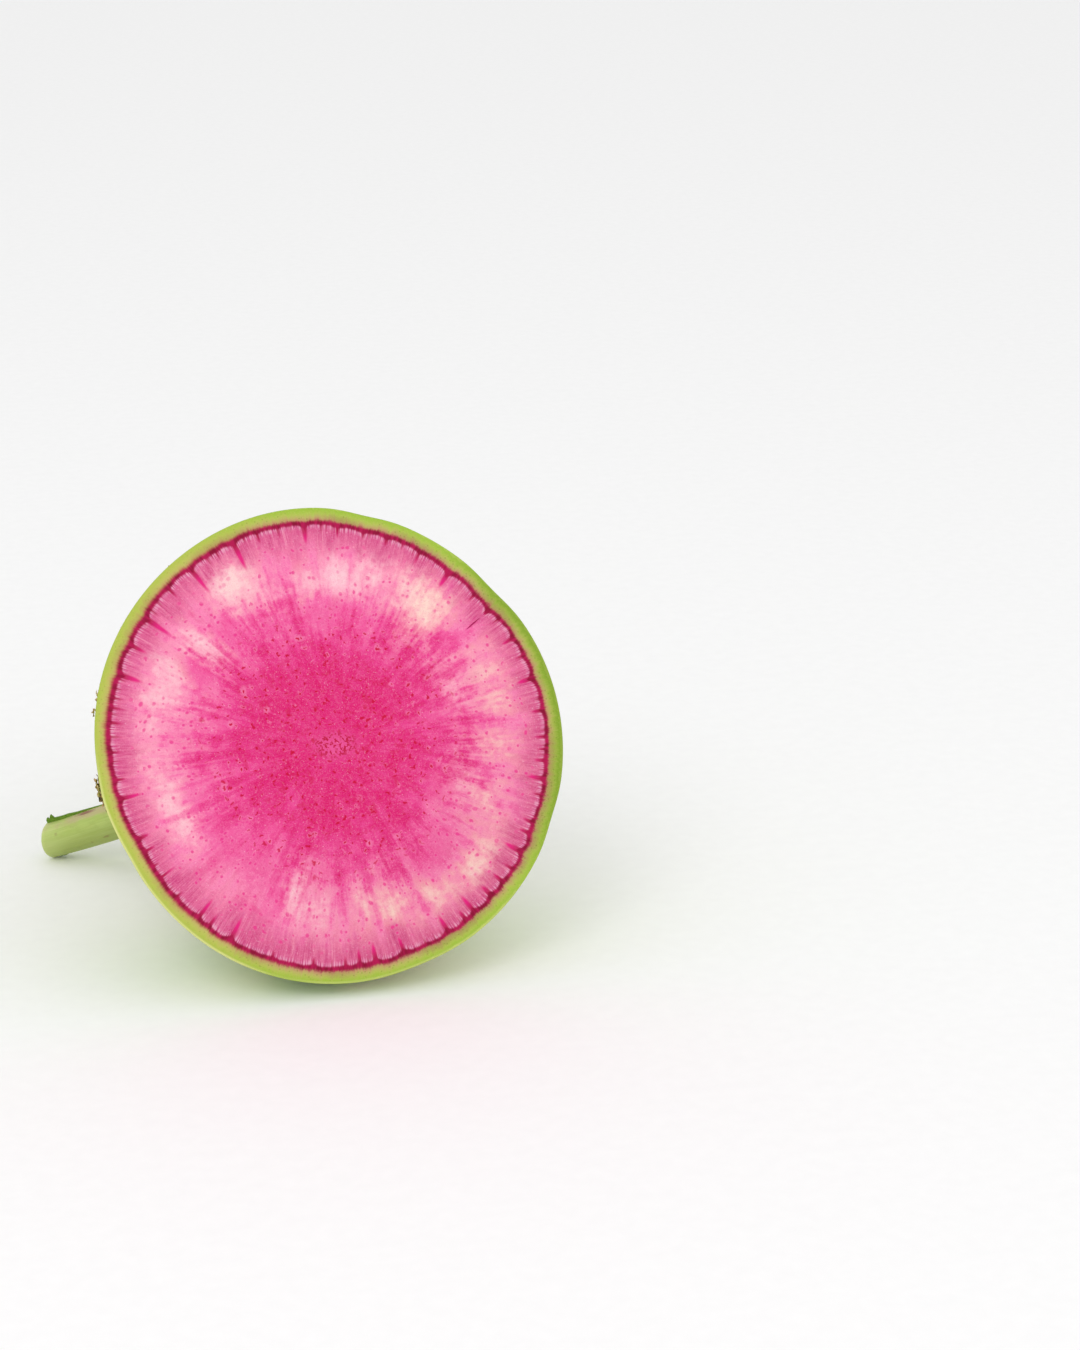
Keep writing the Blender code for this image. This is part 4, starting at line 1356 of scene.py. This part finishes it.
def makeYoungStem(name, around, points, length, seed, material):
    bm = unitTube(youngLeaf["stemSides"], youngLeaf["stemSections"])
    straightLayer = bm.verts.layers.float_vector.new("straight")
    for vert in bm.verts:
        share = vert.co.z
        place, side, inner, _ = sectionAxes(points, share)
        radius = stemRadius(share)
        vert[straightLayer] = (vert.co.x * radius + around, vert.co.y * radius, share * length)
        vert.co = place + (side * vert.co.x + inner * vert.co.y) * radius
    makeHairs(bm, points, seed)
    makePiece(name + "_stem", bm, "stalk", material, name, sharp=60)


def makeHairs(bm, points, seed):
    draw = random.Random(int(seed * 10) + 5)
    wide, narrow = youngLeaf["hairRadii"]
    for _ in range(youngLeaf["hairs"]):
        share = draw.uniform(0.15, 0.78)
        place, side, inner, way = sectionAxes(points, share)
        angle = draw.uniform(0, math.tau)
        outward = side * math.cos(angle) + inner * math.sin(angle)
        lean = (outward + way * draw.uniform(-0.2, 0.6) + side * draw.uniform(-0.3, 0.3)).normalized()
        height = youngLeaf["hairLength"] * draw.uniform(0.5, 1.0) * (1 - 0.7 * share)
        turn = lean.to_track_quat("Z", "Y").to_matrix().to_4x4()
        at = place + outward * stemRadius(share) + lean * (height / 2 - 0.2)
        bmesh.ops.create_cone(
            bm, cap_ends=True, segments=3, radius1=wide, radius2=narrow, depth=height,
            matrix=Matrix.Translation(at) @ turn,
        )


def makeYoungBlade(name, points, length, width, seed, material):
    bm = bmesh.new()
    bladeLayer = bm.verts.layers.float_vector.new("blade")
    ribLayer, = floatLayers(bm, "rib")
    bmesh.ops.create_grid(bm, x_segments=youngLeaf["columns"], y_segments=youngLeaf["rows"], size=0.5)
    for vert in bm.verts:
        along, out = vert.co.x + 0.5, 2 * (vert.co.y + 0.5) - 1
        branch = (along - 0.30 * abs(out)) * youngLeaf["veins"]
        apart = abs(branch - round(branch)) / youngLeaf["veins"]
        vein = 0.8 * bell(apart, 0.013) * (1 - 0.5 * abs(out))
        vert[ribLayer] = max(bell(out, 0.07), vein, 0.55 * smooth(0.9, 1.0, abs(out)))
        vert[bladeLayer] = (along * length * 0.66, out * width, seed * 10)
        pucker = 0.28 * math.cos(math.tau * branch) * (1 - out * out)
        vert.co = bladePlace(points, width, seed, along, out)
        vert.co += sectionAxes(points, youngLeaf["start"] + 0.64 * along)[2] * pucker
    solidify(bm, youngLeaf["thickness"])
    makePiece(name + "_blade", bm, "leaf", material, name)


for name, (around, rootRadius, end, width, seed) in youngLeaves.items():
    points = stalkCurve(around, youngLeaf["stemOut"], rootRadius, Vector((end[0], end[1], -end[2])))
    length = (points[3] - points[0]).length
    makeYoungStem(name, around, points, length, seed, stalkGreen)
    makeYoungBlade(name, points, length, width, seed, leafGreen)
print("young leaves")


# Stage, light and camera

stage = {"half": 3.0, "level": -0.0002, "world": 0.88}
view = {
    "azimuth": -12.0,
    "elevation": 19.0,
    "distance": 0.6,
    "focal": 3147.0,
    "imageWidth": 1080,
    "imageHeight": 1350,
    "centrePixel": (331.5, 746.0),
}


def makeStage():
    bm = bmesh.new()
    bmesh.ops.create_grid(bm, x_segments=1, y_segments=1, size=stage["half"])
    mesh = bpy.data.meshes.new("floor")
    bm.to_mesh(mesh)
    bm.free()
    mesh.transform(Matrix.Translation((0, 0, stage["level"])))
    floor = bpy.data.objects.new("floor", mesh)
    bpy.context.scene.collection.objects.link(floor)
    p = Paint("paper", roughness=0.9, specular=0.1)
    p.colour = p.mix(p.noise(p.objectAxes(), scale=300, detail=2), (250, 250, 250), (255, 255, 255))
    mesh.materials.append(p.finish())
    world = bpy.data.worlds.new("studio")
    world.use_nodes = True
    world.node_tree.nodes["Background"].inputs["Color"].default_value = (1, 1, 1, 1)
    world.node_tree.nodes["Background"].inputs["Strength"].default_value = stage["world"]
    bpy.context.scene.world = world


def makeLight(name, place, size, power):
    data = bpy.data.lights.new(name, "AREA")
    data.shape = "DISK"
    data.size = size
    data.energy = power
    light = bpy.data.objects.new(name, data)
    light.location = place
    light.rotation_euler = (Vector(place) - faceCentre).to_track_quat("Z", "Y").to_euler()
    bpy.context.scene.collection.objects.link(light)


def makeCamera():
    azimuth = math.radians(view["azimuth"])
    elevation = math.radians(view["elevation"])
    back = Vector((
        math.sin(azimuth) * math.cos(elevation), -math.cos(azimuth) * math.cos(elevation),
        math.sin(elevation),
    ))
    right = Vector((math.cos(azimuth), math.sin(azimuth), 0))
    up = back.cross(right)
    x, y = view["centrePixel"]
    look = right * (x - view["imageWidth"] / 2) + up * (view["imageHeight"] / 2 - y) - back * view["focal"]
    data = bpy.data.cameras.new("camera")
    data.sensor_fit = "HORIZONTAL"
    data.sensor_width = 36
    data.lens = view["focal"] / view["imageWidth"] * data.sensor_width
    data.clip_start = 0.01
    camera = bpy.data.objects.new("camera", data)
    camera.location = faceCentre - look.normalized() * view["distance"]
    camera.rotation_euler = Matrix((right, up, back)).transposed().to_euler()
    bpy.context.scene.collection.objects.link(camera)
    bpy.context.scene.camera = camera


makeStage()
makeLight("key", (-0.5, -0.7, 0.9), 0.6, 2.2)
makeLight("fill", (0.7, -0.6, 0.5), 0.8, 0.5)
makeCamera()
bpy.context.scene.view_settings.view_transform = "Standard"
print("stage, light and camera")
